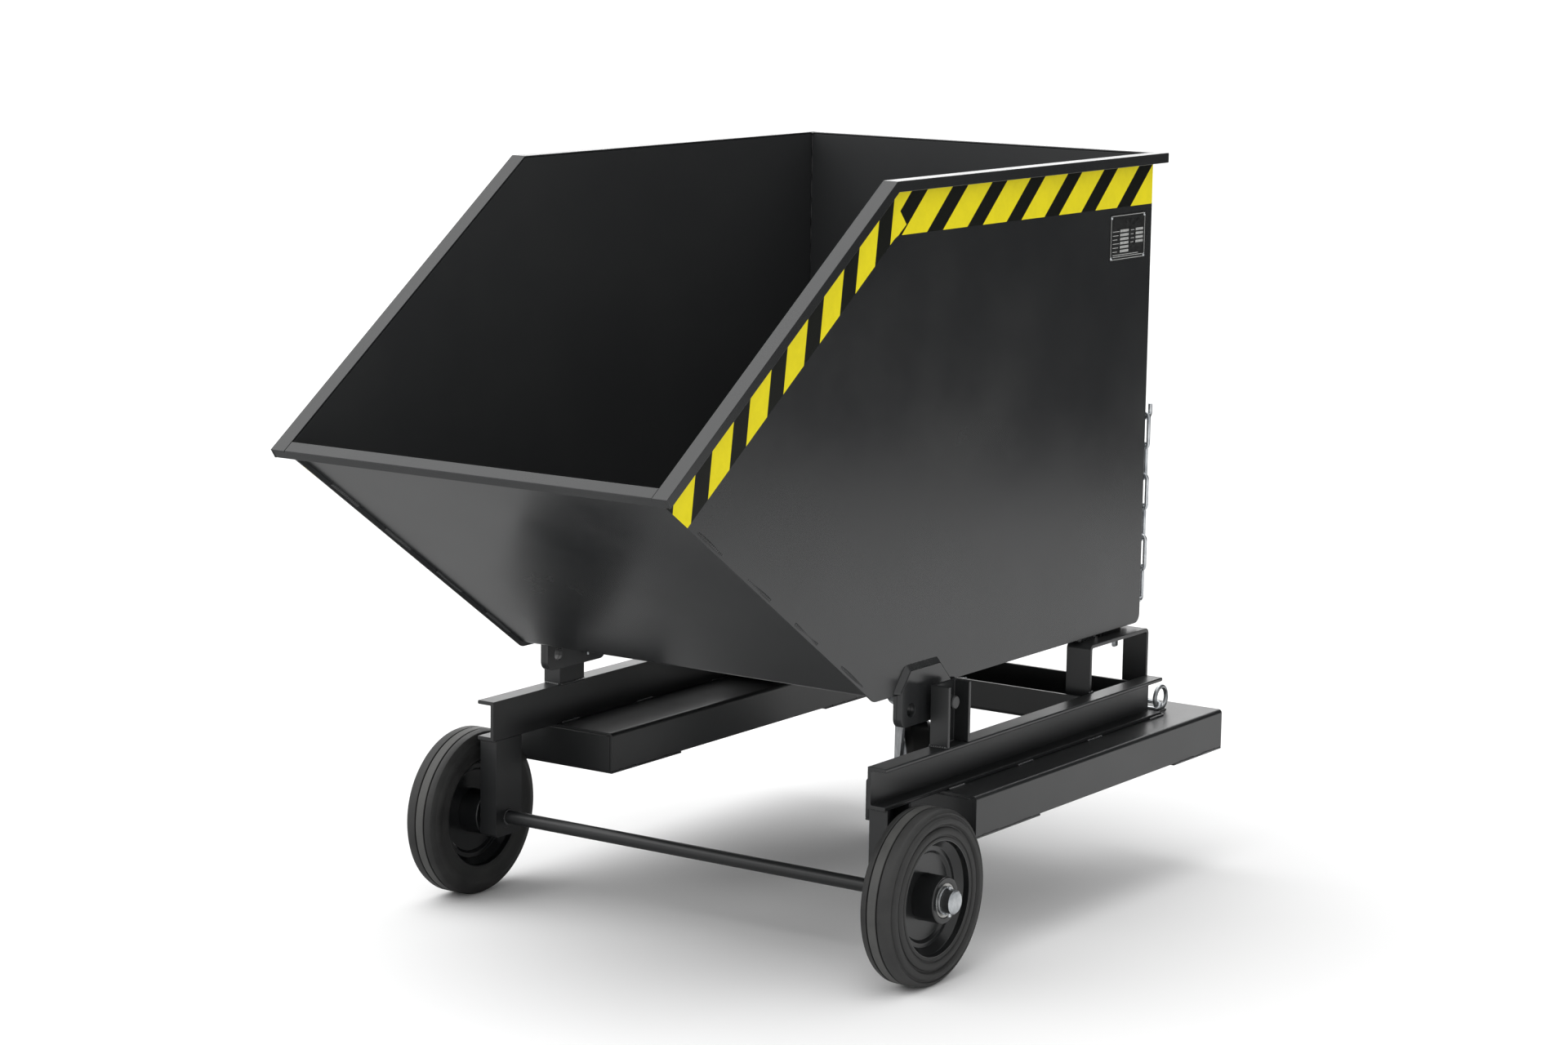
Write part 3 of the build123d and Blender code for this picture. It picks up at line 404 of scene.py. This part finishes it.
weldFacts = {"size": 4.2 * mm, "stitch": 62 * mm, "gap": 74 * mm, "first": 40 * mm,
             "small": 2.6 * mm, "sunk": 1 * mm, "shortRun": 40 * mm,
             "floor": {"first": 90 * mm, "last": 60 * mm, "step": 130 * mm},
             "back": {"first": 60 * mm, "last": 90 * mm, "step": 140 * mm},
             "seam": {"size": 1.9 * mm, "sunk": 0.4 * mm, "inset": 9 * mm, "corner": 16 * mm},
             "under": {"size": 2.2 * mm, "run": 30 * mm, "step": 120 * mm, "end": 60 * mm,
                       "below": 3.4 * mm}}
for side, s in sides:
    beads = []
    run = weldFacts["first"]
    while run + weldFacts["stitch"] < slopeLength:  # stitches outside, along the inset front sheet
        points = [onSlope(r, slopeFacts["inset"]) for r in (run, run + weldFacts["stitch"])]
        beads.append(weldBead(*((s * plateInner, y, z) for y, z in points), weldFacts["size"]))
        run += weldFacts["stitch"] + weldFacts["gap"]
    facts = weldFacts["floor"]
    x, z = s * (plateInner - weldFacts["sunk"]), wrapLow.z + weldFacts["sunk"]
    spotY = heelY + facts["first"]
    while spotY < wrapHigh.y - facts["last"]:       # under the floor
        beads.append(weldBead((x, spotY, z), (x, spotY + weldFacts["shortRun"], z),
                              weldFacts["small"]))
        spotY += facts["step"]
    facts = weldFacts["back"]
    spotZ = floorTop + facts["first"]
    while spotZ < rimTop - facts["last"]:           # up the back wall
        beads.append(weldBead((x, wrapHigh.y, spotZ),
                              (x, wrapHigh.y, spotZ + weldFacts["shortRun"]), weldFacts["small"]))
        spotZ += facts["step"]
    finished(joined(f"tubStitchWelds_{side}", beads), coatWeldPaintedGlint, "tub")

    # full seams inside the tub, ground low
    facts = weldFacts["seam"]
    inside, corner = s * (plateInner - facts["sunk"]), facts["corner"]
    seam = [weldBead((inside, *start), (inside, *end), facts["size"], 1) for start, end in (
        (onSlope(20 * mm, facts["inset"]), onSlope(slopeLength - 6 * mm, facts["inset"])),
        ((heelY + 20 * mm, floorTop), (backInner - corner, floorTop)),
        ((backInner, floorTop + corner), (backInner, rimTop - 5 * mm)))]
    finished(joined(f"tubInsideSeams_{side}", seam), coatWeldPaintedGlint, "tub")

    # corner welds of the rim: at the back, at the bend and at the lip
    lipY, lipZ = frontRimLow.y, slopeFacts["lipZ"]
    lipX = s * (plateInner + 1 * mm)
    corners = [weldBead((s * (plateInner - 2 * mm), backInner - 1 * mm, rimTop - 2 * mm),
                        (s * (plateInner + 16 * mm), backInner + 10 * mm, rimTop - 0.8 * mm),
                        2.4 * mm, 2, 0.45),
               weldBead((lipX, lipY + 17 * mm, lipZ + 8 * mm),
                        (lipX, lipY + 4 * mm, lipZ - 1.2 * mm), 1.8 * mm, 2, 0.5),
               weldBead((s * plateOuter, lipY + 12 * mm, lipZ - 6 * mm),
                        (s * plateOuter, lipY + 40 * mm, lipZ + 14 * mm), 2.4 * mm)]
    finished(joined(f"tubRimCornerWelds_{side}", corners), coatWeldPaintedGlint, "tub")

    # short beads that hold the rim's underside to the side plate
    facts = weldFacts["under"]
    under, z = [], rimTop - facts["below"]
    spotY = slopeFacts["rimBendY"] + facts["end"]
    while spotY < rimHigh.y - facts["end"]:
        under.append(weldBead((s * plateOuter, spotY, z),
                              (s * plateOuter, spotY + facts["run"], z), facts["size"]))
        spotY += facts["step"]
    finished(joined(f"tubRimUnderWelds_{side}", under), coatWeldPaintedGlint, "tub")
print("tub made")

# Pivot ears: a broad fillet weld round each thick plate.

earFacts = {"front": -101 * mm, "rear": 41 * mm, "top": 418 * mm, "shoulderFront": 24 * mm,
            "shoulderRear": 42 * mm, "cut": 28 * mm, "throat": 7.5 * mm, "height": 7 * mm,
            "ripples": 3.2 * mm, "foot": 3 * mm, "sway": 0.03, "turn": 1.9, "jitter": 0.04,
            "section": ((-0.1, 0.0), (-0.1, 1.0), (0.55, 0.50), (1.0, -0.05))}


# A fillet weld along an outline: its section runs from the plate's edge down to its foot.
def filletWeld(name, outline, x, s, wide, high):
    middle = Vector((0, sum(p[0] for p in outline) / len(outline),
                     sum(p[1] for p in outline) / len(outline)))
    points = []
    for (y0, z0), (y1, z1) in zip(outline, outline[1:]):
        steps = max(2, round(hypot(y1 - y0, z1 - z0) / earFacts["ripples"]))
        points += [(y0 + (y1 - y0) * i / steps, z0 + (z1 - z0) * i / steps) for i in range(steps)]
    points.append(outline[-1])
    bpy.ops.mesh.primitive_grid_add(x_subdivisions=3, y_subdivisions=len(points) - 1, size=1.0)
    piece = named(name)
    for row, (y, z) in enumerate(points):
        before, after = points[max(row - 1, 0)], points[min(row + 1, len(points) - 1)]
        along = Vector((0, after[0] - before[0], after[1] - before[1])).normalized()
        out = Vector((s, 0, 0)).cross(along) * s
        if out.dot(Vector((0, y, z)) - middle) < 0:
            out.negate()
        swell = 1 + earFacts["sway"] * sin(row * earFacts["turn"])
        swell += earFacts["jitter"] * (random.random() - 0.5)
        for column, (away, up) in enumerate(earFacts["section"]):
            vertex = piece.data.vertices[row * len(earFacts["section"]) + column]
            vertex.co = Vector((x + s * up * high * (swell if column == 2 else 1), y, z)) + (
                out * away * wide * (swell if column > 1 else 1))
    bpy.ops.object.mode_set(mode="EDIT")
    bpy.ops.mesh.select_all(action="SELECT")
    bpy.ops.mesh.region_to_loop()
    bpy.ops.mesh.edge_face_add()
    bpy.ops.object.mode_set(mode="OBJECT")
    return recalculated(piece)


for side, s in sides:
    front, rear, top = earFacts["front"], earFacts["rear"], earFacts["top"]
    foot = sideLow.z + earFacts["foot"]
    outline = [(front, foot), (front, top - earFacts["cut"]),
               (front + earFacts["shoulderFront"], top), (rear - earFacts["shoulderRear"], top),
               (rear, top - earFacts["shoulderRear"]), (rear, foot)]
    weld = filletWeld(f"pivotEarFillet_{side}", outline, s * plateOuter, s,
                      earFacts["throat"], earFacts["height"])
    finished(weld, coatWeldPaintedGlint, "tub", 60)
print("ears made")

# Warning tape: one strip along the straight rim and one down the slanted rim.

tapeFacts = {"thick": 0.2 * mm, "lower": 77 * mm, "upper": 4 * mm, "slantedLower": 81 * mm,
             "overlap": 4 * mm, "trim": 3 * mm, "edge": 0.5 * mm, "lift": 0.02 * mm,
             "straight": {"lean": radians(42.5), "period": 71.1 * mm, "share": 0.61,
                          "through": (-75, 1065)},
             "slanted": {"lean": radians(82), "period": 74.6 * mm, "share": 0.56,
                         "through": (-553, 768)},
             "zigzag": ((-98, 1104), (-98, 1089), (-118, 1065), (-101, 1045), (-121, 1031))}
tapePaint = {}
for strip in ("straight", "slanted"):  # a yellow stripe starts at that point on the plate
    facts = tapeFacts[strip]
    y, z = facts["through"]
    start = (y * sin(facts["lean"]) - z * cos(facts["lean"])) * mm
    tapePaint[strip] = hazardTape("printedVinylTape" + strip.title(), facts["lean"], start,
                                  facts["period"], facts["share"])


def rimPoint(along, depth):  # along the rim's line from its bend, positive to the rear
    bendY, bendZ = slopeFacts["rimBendY"] + depth * tan(rimSlope / 2), rimTop - depth
    if along >= 0:
        return (bendY + along, bendZ)
    return (bendY + along * cos(rimSlope), bendZ + along * sin(rimSlope))


tapeLow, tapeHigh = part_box("warning_tape_right")
upper, lower = tapeFacts["upper"], tapeFacts["lower"]
frontTop = onSlope((heelY - tapeLow.y) / cos(slope) - tapeFacts["trim"], 0)
# the slanted strip's lower edge runs from here to the plate's edge
edgeStart = rimPoint(0, tapeFacts["slantedLower"])
rise, fall = tan(rimSlope), -tan(slope)
meetY = (heelZ + tapeFacts["edge"] - fall * heelY - edgeStart[1] + rise * edgeStart[0])
meetY /= rise - fall
frontLow = (meetY, edgeStart[1] + rise * (meetY - edgeStart[0]))
zigzag = [(y * mm, z * mm) for y, z in tapeFacts["zigzag"]]
underlap = zigzag[-1][0] - tapeFacts["overlap"]
stripOutlines = {
    "straight": [(underlap, rimTop - lower), (underlap, rimTop - upper),
                 (tapeHigh.y, rimTop - upper), (tapeHigh.y, rimTop - lower)],
    "slanted": [frontLow, frontTop, rimPoint(0, upper)] + zigzag + [edgeStart]}
for side, s in sides:
    for strip, layers in (("straight", 1), ("slanted", 2)):  # the slanted strip laps over
        x = s * (plateOuter + tapeFacts["lift"])
        piece = outlined(f"warningTape{strip.title()}_{side}",
                         [(x, y, z) for y, z in stripOutlines[strip]],
                         (s * tapeFacts["thick"] * layers, 0, 0))
        replaced = (f"warning_tape_{side}",) if strip == "straight" else ()
        finished(piece, tapePaint[strip], "tub", replaced=replaced)
print("tape made")

# Type plate: blank boxes and rules on a black plate, held by four rivets.

plateLow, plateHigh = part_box("type_plate")
plateFacts = {"edge": 0.25, "printHeight": 0.12 * mm, "rivetInset": 4 * mm, "rowStep": 0.088,
              "rules": ((0.02, 0.98, 0.965, 0.98), (0.02, 0.98, 0.02, 0.035),
                        (0.02, 0.03, 0.035, 0.965), (0.97, 0.98, 0.035, 0.965),
                        (0.08, 0.92, 0.075, 0.09), (0.08, 0.80, 0.115, 0.13))}
softened("type_plate", "typePlate", plateFacts["edge"], plateBlack, "tub")
faceX = plateHigh.x


def printedPatch(y0, y1, z0, z1):
    return outlined("patch", [(faceX, y0, z0), (faceX, y1, z0), (faceX, y1, z1), (faceX, y0, z1)],
                    (plateFacts["printHeight"], 0, 0))


plateWide, plateTall = plateHigh.y - plateLow.y, plateHigh.z - plateLow.z


def onPlate(u0, u1, v0, v1):
    return printedPatch(plateLow.y + u0 * plateWide, plateLow.y + u1 * plateWide,
                        plateLow.z + v0 * plateTall, plateLow.z + v1 * plateTall)


rowStep = plateFacts["rowStep"]
patches = [onPlate(*rule) for rule in plateFacts["rules"]]
for row in range(6):  # a value's box and its caption on each line, left column then right
    rise = row * rowStep
    patches.append(onPlate(0.28, 0.52, 0.17 + rise, 0.225 + rise))
    patches.append(onPlate(0.07, 0.20 + 0.03 * (row % 3), 0.185 + rise, 0.20 + rise))
for row in range(4):
    rise = row * rowStep
    patches.append(onPlate(0.72, 0.93, 0.345 + rise, 0.40 + rise))
    patches.append(onPlate(0.58, 0.66 + 0.02 * (row % 2), 0.36 + rise, 0.375 + rise))
finished(joined("typePlatePrint", patches), plateInk, "tub")

rivet = turned("rivet", [(0.0, 2.6), (0.9, 2.2), (1.4, 1.2), (1.5, 0.0)], (0, 0, 0), steps=20)
rivets = []
inset = plateFacts["rivetInset"]
for y in (plateLow.y + inset, plateHigh.y - inset):
    for z in (plateLow.z + inset, plateHigh.z - inset):
        one = bpy.data.objects.new("rivetCopy", rivet.data.copy())
        bpy.context.scene.collection.objects.link(one)
        one.location = (faceX, y, z)
        rivets.append(one)
bpy.data.objects.remove(rivet)
finished(joined("typePlateRivets", rivets), zinc, "tub", 50)
print("type plate made")

# Push handle.

handleFacts = {"edge": 0.4, "footInset": 13.5 * mm, "ring": 14.5 * mm, "bead": 2.4 * mm,
               "lift": 0.4 * mm, "steps": 12}
softened("push_handle", "pushHandle", handleFacts["edge"], coatTub, "tub")
handleLow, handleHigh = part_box("push_handle")
feet = []
for side, s in sides:
    footX, radius = s * (handleHigh.x - handleFacts["footInset"]), handleFacts["ring"]
    middle = Vector((footX, wrapHigh.y + handleFacts["lift"], (handleLow.z + handleHigh.z) / 2))
    steps = handleFacts["steps"]
    ring = [middle + Vector((cos(a) * radius, 0, sin(a) * radius))
            for a in (2 * pi * i / steps for i in range(steps))]
    feet += [weldBead(a, b, handleFacts["bead"], 1) for a, b in zip(ring, ring[1:] + ring[:1])]
finished(joined("pushHandleWelds", feet), coatWeldPaintedGlint, "tub")

# Materials of the nodes that stay as they are.

stays = {zinc: ("tub_chain", "chain_hook", "lashing_eye_chain", "pivot_split_pins",
                "axle_split_pins", "castor_kingpin", "castor_ball_race"),
         zincDull: ("lashing_eye",),
         rollerSteel: ("hub_bearing_left", "hub_bearing_right")}
for material, group in stays.items():
    for node in group:
        nodes[node].data.materials.clear()
        nodes[node].data.materials.append(material)

# Chassis.

chassisFacts = {"channelEdge": 1.0, "plateEdge": 0.8, "pinEdge": 0.5, "axleEdge": 0.4,
                "boltEdge": 0.6}
for side, s in sides:
    for node, name in ((f"side_rail_{side}", f"sideRail_{side}"),
                       (f"front_leg_{side}", f"frontLeg_{side}"),
                       (f"pivot_bracket_{side}", f"pivotBracket_{side}"),
                       (f"rear_support_{side}", f"rearSupport_{side}"),
                       (f"fork_pocket_{side}", f"forkPocket_{side}")):
        softened(node, name, chassisFacts["channelEdge"], coatChassis, "root")
for node, name in (("pocket_end_plates", "pocketEndPlates"), ("pocket_straps", "pocketStraps"),
                   ("castor_cross_member", "castorCrossMember"),
                   ("latch_guide", "latchGuide")):
    softened(node, name, chassisFacts["plateEdge"], coatChassis, "root")

chassisWelds = {"bead": 2.8 * mm, "sunk": 0.5 * mm, "flangeSunk": 1 * mm,
                "pocketRuns": ((12, 48), (200, 236), (400, 436), (588, 625)),
                "foot": {"start": 3 * mm, "end": 5 * mm, "size": 1.25},
                "web": {"end": 4 * mm},
                "inner": {"out": 6.5 * mm, "end": 9 * mm, "size": 0.8},
                "leg": {"start": 3 * mm, "end": 4 * mm},
                "support": {"in": 3 * mm, "low": 30 * mm, "high": 4 * mm, "run": 8 * mm},
                "cross": {"low": 4 * mm, "high": 2 * mm},
                "strap": {"front": ((20, 60), (110, 150)), "rear": ((-130, -90), (-60, -20)),
                          "size": 0.75},
                "closing": {"in": 12 * mm, "below": 5 * mm, "size": 0.7},
                "eye": {"apart": 3 * mm, "half": 9 * mm},
                "axle": {"rings": ((-0.5, 11), (6.5, 18)), "steps": 14, "size": 2.2 * mm}}
railLow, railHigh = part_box("side_rail_right")
bracketLow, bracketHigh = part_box("pivot_bracket_right")
legLow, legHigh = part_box("front_leg_right")
pocketLow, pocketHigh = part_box("fork_pocket_right")
supportLow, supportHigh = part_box("rear_support_right")
crossLow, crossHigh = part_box("castor_cross_member")
strapLow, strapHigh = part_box("pocket_straps")
bead, sunk = chassisWelds["bead"], chassisWelds["sunk"]
for side, s in sides:
    web, tip = s * railLow.x, s * railHigh.x
    webFace = web - s * sunk
    runs = []
    z = railLow.z + chassisWelds["flangeSunk"]
    for y0, y1 in chassisWelds["pocketRuns"]:  # the rail's lower flange to the pocket's top
        y0, y1 = pocketLow.y + y0 * mm, min(pocketLow.y + y1 * mm, railHigh.y)
        for x in (tip + s * chassisWelds["flangeSunk"], web - s * chassisWelds["flangeSunk"]):
            runs.append(((x, y0, z), (x, y1, z), 1))
    facts, z = chassisWelds["foot"], bracketLow.z + sunk
    for y in (bracketLow.y, bracketHigh.y):    # the bracket's foot, across its flanges
        runs.append(((web + s * facts["start"], y, z), (tip - s * facts["end"], y, z),
                     facts["size"]))
    end = chassisWelds["web"]["end"]
    runs.append(((webFace, bracketLow.y + end, bracketLow.z),
                 (webFace, bracketHigh.y - end, bracketLow.z), 1))
    facts = chassisWelds["inner"]
    x = web + s * facts["out"]
    runs.append(((x, bracketLow.y + facts["end"], z), (x, bracketHigh.y - facts["end"], z),
                 facts["size"]))
    facts, z = chassisWelds["leg"], legHigh.z - sunk
    for y in (legLow.y, legHigh.y):            # the leg's head under the rail
        runs.append(((web + s * facts["start"], y, z), (tip - s * facts["end"], y, z), 1))
    facts, z = chassisWelds["support"], railHigh.z + sunk
    for y in (supportLow.y + facts["in"], supportHigh.y - facts["in"]):  # its feet on the web
        runs.append(((webFace, y, railLow.z + facts["low"]),
                     (webFace, y, railHigh.z - facts["high"]), 1))
    runs.append(((webFace, supportLow.y, z), (webFace, supportLow.y + facts["run"], z), 1))
    facts = chassisWelds["cross"]
    for y in (crossLow.y, crossHigh.y):        # the cross member's ends against the rails
        runs.append(((webFace, y, crossLow.z + facts["low"]),
                     (webFace, y, crossHigh.z - facts["high"]), 1))
    beads = [weldBead(start, end, bead * size) for start, end, size in runs]
    finished(joined(f"chassisWelds_{side}", beads), coatWeldPaintedGlint, "root")

    # the strap edges under the pocket and the closing plate at its front
    inner, outer, facts = s * pocketLow.x, s * pocketHigh.x, chassisWelds["strap"]
    beads = []
    for origin, spans in ((strapLow.y, facts["front"]), (strapHigh.y, facts["rear"])):
        for y0, y1 in spans:
            for x in (inner + s * mm, outer - s * mm):
                beads.append(weldBead((x, origin + y0 * mm, pocketLow.z),
                                      (x, origin + y1 * mm, pocketLow.z), bead * facts["size"]))
    facts = chassisWelds["closing"]
    y, z = pocketLow.y + sunk, pocketHigh.z - facts["below"]
    beads.append(weldBead((inner + s * facts["in"], y, z), (outer - s * facts["in"], y, z),
                          bead * facts["size"], 1))
    finished(joined(f"pocketWelds_{side}", beads), coatWeldPaintedGlint, "root")

# the lashing eye's foot, and the axle rod's ends at the legs
eyeLow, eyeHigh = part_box("lashing_eye")
eyeX, eyeY = (eyeLow.x + eyeHigh.x) / 2, (eyeLow.y + eyeHigh.y) / 2
apart, half = chassisWelds["eye"]["apart"], chassisWelds["eye"]["half"]
beads = [weldBead((eyeX + offset, eyeY - half, pocketHigh.z),
                  (eyeX + offset, eyeY + half, pocketHigh.z), bead) for offset in (-apart, apart)]
axleMiddle = Vector(joints["wheel_right_spin"]["pos_m"])
facts = chassisWelds["axle"]
for side, s in sides:
    for offset, radius in facts["rings"]:
        x, radius = s * (railLow.x + offset * mm), radius * mm
        ring = [Vector((x, axleMiddle.y + cos(a) * radius, axleMiddle.z + sin(a) * radius))
                for a in (2 * pi * i / facts["steps"] for i in range(facts["steps"]))]
        beads += [weldBead(a, b, facts["size"], 1) for a, b in zip(ring, ring[1:] + ring[:1])]
finished(joined("lashingEyeAndAxleWelds", beads), coatWeldPaintedGlint, "root")

softened("pivot_pins", "pivotPins", chassisFacts["pinEdge"], coatChassis, "root")
softened("castor_top_plate", "castorTopPlate", chassisFacts["plateEdge"], zinc,
         "root")
for node, name in (("castor_bolts", "castorBolts"), ("castor_nuts", "castorNuts"),
                   ("axle_washers", "axleWashers")):
    softened(node, name, chassisFacts["pinEdge"], zinc, "root")
axle = softened("wheel_axle", "wheelAxle", chassisFacts["axleEdge"], coatChassis,
                "root")
axle.data.materials.append(zinc)
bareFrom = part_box("wheel_hub_right")[1].x - 1 * mm  # the paint stops inside the hub
for face in axle.data.polygons:
    if abs(face.center.x) > bareFrom:
        face.material_index = 1
softened("latch_bolt", "latchBolt", chassisFacts["boltEdge"], zinc, "latch")
print("chassis made")

# Wheels.

# The tyre's section runs from the rim's inner edge over the tread to its outer edge. The tread
# has two grooves, and the outer sidewall has two hollow rings.
wheelFacts = {"edge": 0.7, "tyreSteps": 120, "treadFrom": 124.7 * mm, "paler": (-10 * mm, 3 * mm)}
tyreFacts = {"profile": (
    (-24.5, 82), (-25.5, 84), (-26, 90), (-25.5, 98), (-26.8, 101), (-27.6, 106), (-27.2, 110),
    (-26, 112.5), (-25.4, 114), (-24.6, 118.5), (-22, 122.5), (-18, 124.6), (-13.2, 125),
    (-12.4, 124.4), (-12.2, 122.6), (-10.8, 122.6), (-10.6, 124.4), (-9.8, 125), (2.8, 125),
    (3.6, 124.4), (3.8, 122.6), (5.2, 122.6), (5.4, 124.4), (6.2, 125), (17, 124.8), (21, 123),
    (24.4, 119.2), (24.2, 117.4), (23.2, 116.2), (23.4, 114.6), (25.6, 113.4), (27.3, 111.8),
    (27.9, 108.5), (27.5, 105.2), (25.8, 103.6), (23.6, 102.4), (23.4, 100.8), (25.2, 99.6),
    (26.4, 97.2), (26.7, 92), (26.0, 89.6), (24.4, 88.8), (24.2, 87.2), (25.6, 86), (25.4, 83),
    (24.5, 82),
    (24.5, 86.4), (-24.5, 86.4), (-24.5, 82))}

for side, s in sides:
    body = f"wheel_{side}"
    softened(f"wheel_rim_{side}", f"wheelRim_{side}", wheelFacts["edge"], coatWheel,
             body)
    softened(f"wheel_hub_{side}", f"wheelHub_{side}", wheelFacts["edge"], coatWheel,
             body)
    middle = Vector(joints[f"wheel_{side}_spin"]["pos_m"])
    section = [(s * along, radius) for along, radius in tyreFacts["profile"]]
    tyre = turned(f"tyre_{side}_moulded", section, middle, steps=wheelFacts["tyreSteps"])
    finished(tyre, rubber, body, 28, (f"tyre_{side}",))
    tyre.data.materials.append(rubberLighterBand)
    near, far = wheelFacts["paler"]
    for face in tyre.data.polygons:  # the band between the grooves gets the lighter rubber
        spot = face.center - middle
        if hypot(spot.y, spot.z) > wheelFacts["treadFrom"] and near < s * spot.x < far:
            face.material_index = 1
print("wheels made")

# Castor.

castorFacts = {"plateEdge": 0.8, "boltEdge": 0.5, "rimEdge": 0.5, "pedalEdge": 1.5}
for node, name, edge, paint, body, slotName in (
        ("castor_fork", "castorFork", "plateEdge", zincDull, "castor_swivel", "zinc_steel"),
        ("castor_axle_bolt", "castorAxleBolt", "boltEdge", zinc, "castor_swivel", "zinc_steel"),
        ("castor_axle_nut", "castorAxleNut", "boltEdge", zinc, "castor_swivel", "zinc_steel"),
        ("castor_rim", "castorRim", "rimEdge", zincDull, "castor_wheel", "zinc_steel"),
        ("castor_brake_pedal", "castorBrakePedal", "pedalEdge", coatWheel, "brake_pedal",
         "pedal_paint")):
    softened(node, name, castorFacts[edge], paint, body)
nodes["castor_tyre"].data.materials.clear()
nodes["castor_tyre"].data.materials.append(rubber)
print("castor made")

# Studio.

studioFacts = {"floor": 300.0, "world": 0.85, "sun": 2.0, "sunWide": 75, "flagFrom": 3.9,
               "backdropGlow": 1.3, "softboxGlow": 4.2, "lampTilt": (18, -20),
               "flagMiddle": (0.33, 0.2, 2.5), "flagFacing": (0.558, 0.812, 0),
               "flagSize": (6.5, 5.0), "sheetPlace": (-0.95, 0.15), "sheetSize": (2.4, 2.6)}
bpy.ops.mesh.primitive_plane_add(size=studioFacts["floor"], location=(0, 0, cadBox[0].z))
floor = named("studioFloor")
floorPaint, tree, shader, place = newMaterial("mattPaperRoll", Roughness=0.9, IOR=1.3,
                                              Specular_IOR_Level=0.0)
tree.links.new(blendColours(tree, grain(tree, place, 400 * mm), "#f6f6f6", "#f2f2f2"),
               shader.inputs["Base Color"])
floor.data.materials.append(floorPaint)

world = bpy.data.worlds.new("studioWorld")
bpy.context.scene.world = world
world.use_nodes = True
world.node_tree.nodes["Background"].inputs["Color"].default_value = (1, 1, 1, 1)
world.node_tree.nodes["Background"].inputs["Strength"].default_value = studioFacts["world"]

lamp = bpy.data.lights.new("ceilingLight", "SUN")
lamp.energy, lamp.angle = studioFacts["sun"], radians(studioFacts["sunWide"])
ceiling = bpy.data.objects.new("ceilingLight", lamp)
bpy.context.scene.collection.objects.link(ceiling)
ceiling.rotation_euler = (*(radians(tilt) for tilt in studioFacts["lampTilt"]), 0)


def studioCard(name, place, facing, wide, tall, material):
    # a card that shows only in the paint's reflections, so it casts no shade on the floor
    bpy.ops.mesh.primitive_plane_add(size=1.0)
    card = named(name)
    card.scale = (wide, tall, 1.0)
    card.location = place
    card.rotation_euler = Vector(facing).to_track_quat("Z", "Y").to_euler()
    card.data.materials.append(material)
    card.visible_camera = card.visible_diffuse = card.visible_shadow = False


flagPaint, tree, shader, place = newMaterial("blackFeltCloth", Roughness=1.0)
tree.links.new(blendColours(tree, grain(tree, place, 300 * mm), "#050505", "#0a0a0a"),
               shader.inputs["Base Color"])
flagFacing = Vector(studioFacts["flagFacing"]).normalized()
flagPlace = Vector(studioFacts["flagMiddle"]) + flagFacing * studioFacts["flagFrom"]
studioCard("blackFlag", flagPlace, -flagFacing, *studioFacts["flagSize"], flagPaint)
# a grey sheet over the floor that only reflections see: painted shade, the dimmer floor under and
# left of the cart as the paint reflects it
floorShadeForReflections, tree, shader, place = newMaterial("paintedFloorShadeSheet", Roughness=1.0)
tree.links.new(blendColours(tree, grain(tree, place, 300 * mm), "#b2b2b2", "#acacac"),
               shader.inputs["Base Color"])
studioCard("reflectedFloorShadeSheet", (*studioFacts["sheetPlace"], cadBox[0].z + mm), (0, 0, 1),
           *studioFacts["sheetSize"], floorShadeForReflections)
for name, key, place, facing, wide, tall in (
        ("glowBackdrop", "backdropGlow", (-5.2, 8.0, 2.2), (0.55, -0.83, -0.05), 9.0, 4.2),
        ("glowOverhead", "softboxGlow", (-1.0, 3.2, 4.6), (0.15, -0.55, -0.8), 4.0, 2.4)):
    glow, tree, shader, spot = newMaterial(name + "Cloth", Roughness=1.0)
    shader.inputs["Emission Color"].default_value = (1, 1, 1, 1)
    shader.inputs["Emission Strength"].default_value = studioFacts[key]
    studioCard(name, place, facing, wide, tall, glow)

eye = bpy.data.cameras.new("studioCamera")
eye.lens, eye.sensor_width = cameraFacts["lens"], cameraFacts["sensor"]
eye.clip_end = 200
camera = bpy.data.objects.new("studioCamera", eye)
bpy.context.scene.collection.objects.link(camera)
azimuth, elevation, roll = (radians(cameraFacts[key]) for key in ("azimuth", "elevation", "roll"))
back = Vector((sin(azimuth) * cos(elevation), -cos(azimuth) * cos(elevation), sin(elevation)))
right = (-back).cross(Vector((0, 0, 1))).normalized()
above = right.cross(-back)
turn = Matrix((right * cos(roll) + above * sin(roll), above * cos(roll) - right * sin(roll),
               back)).transposed()
camera.matrix_world = Matrix.Translation(cameraFacts["place"]) @ turn.to_4x4()
bpy.context.scene.camera = camera
bpy.context.scene.view_settings.view_transform = "Standard"
print("studio made")
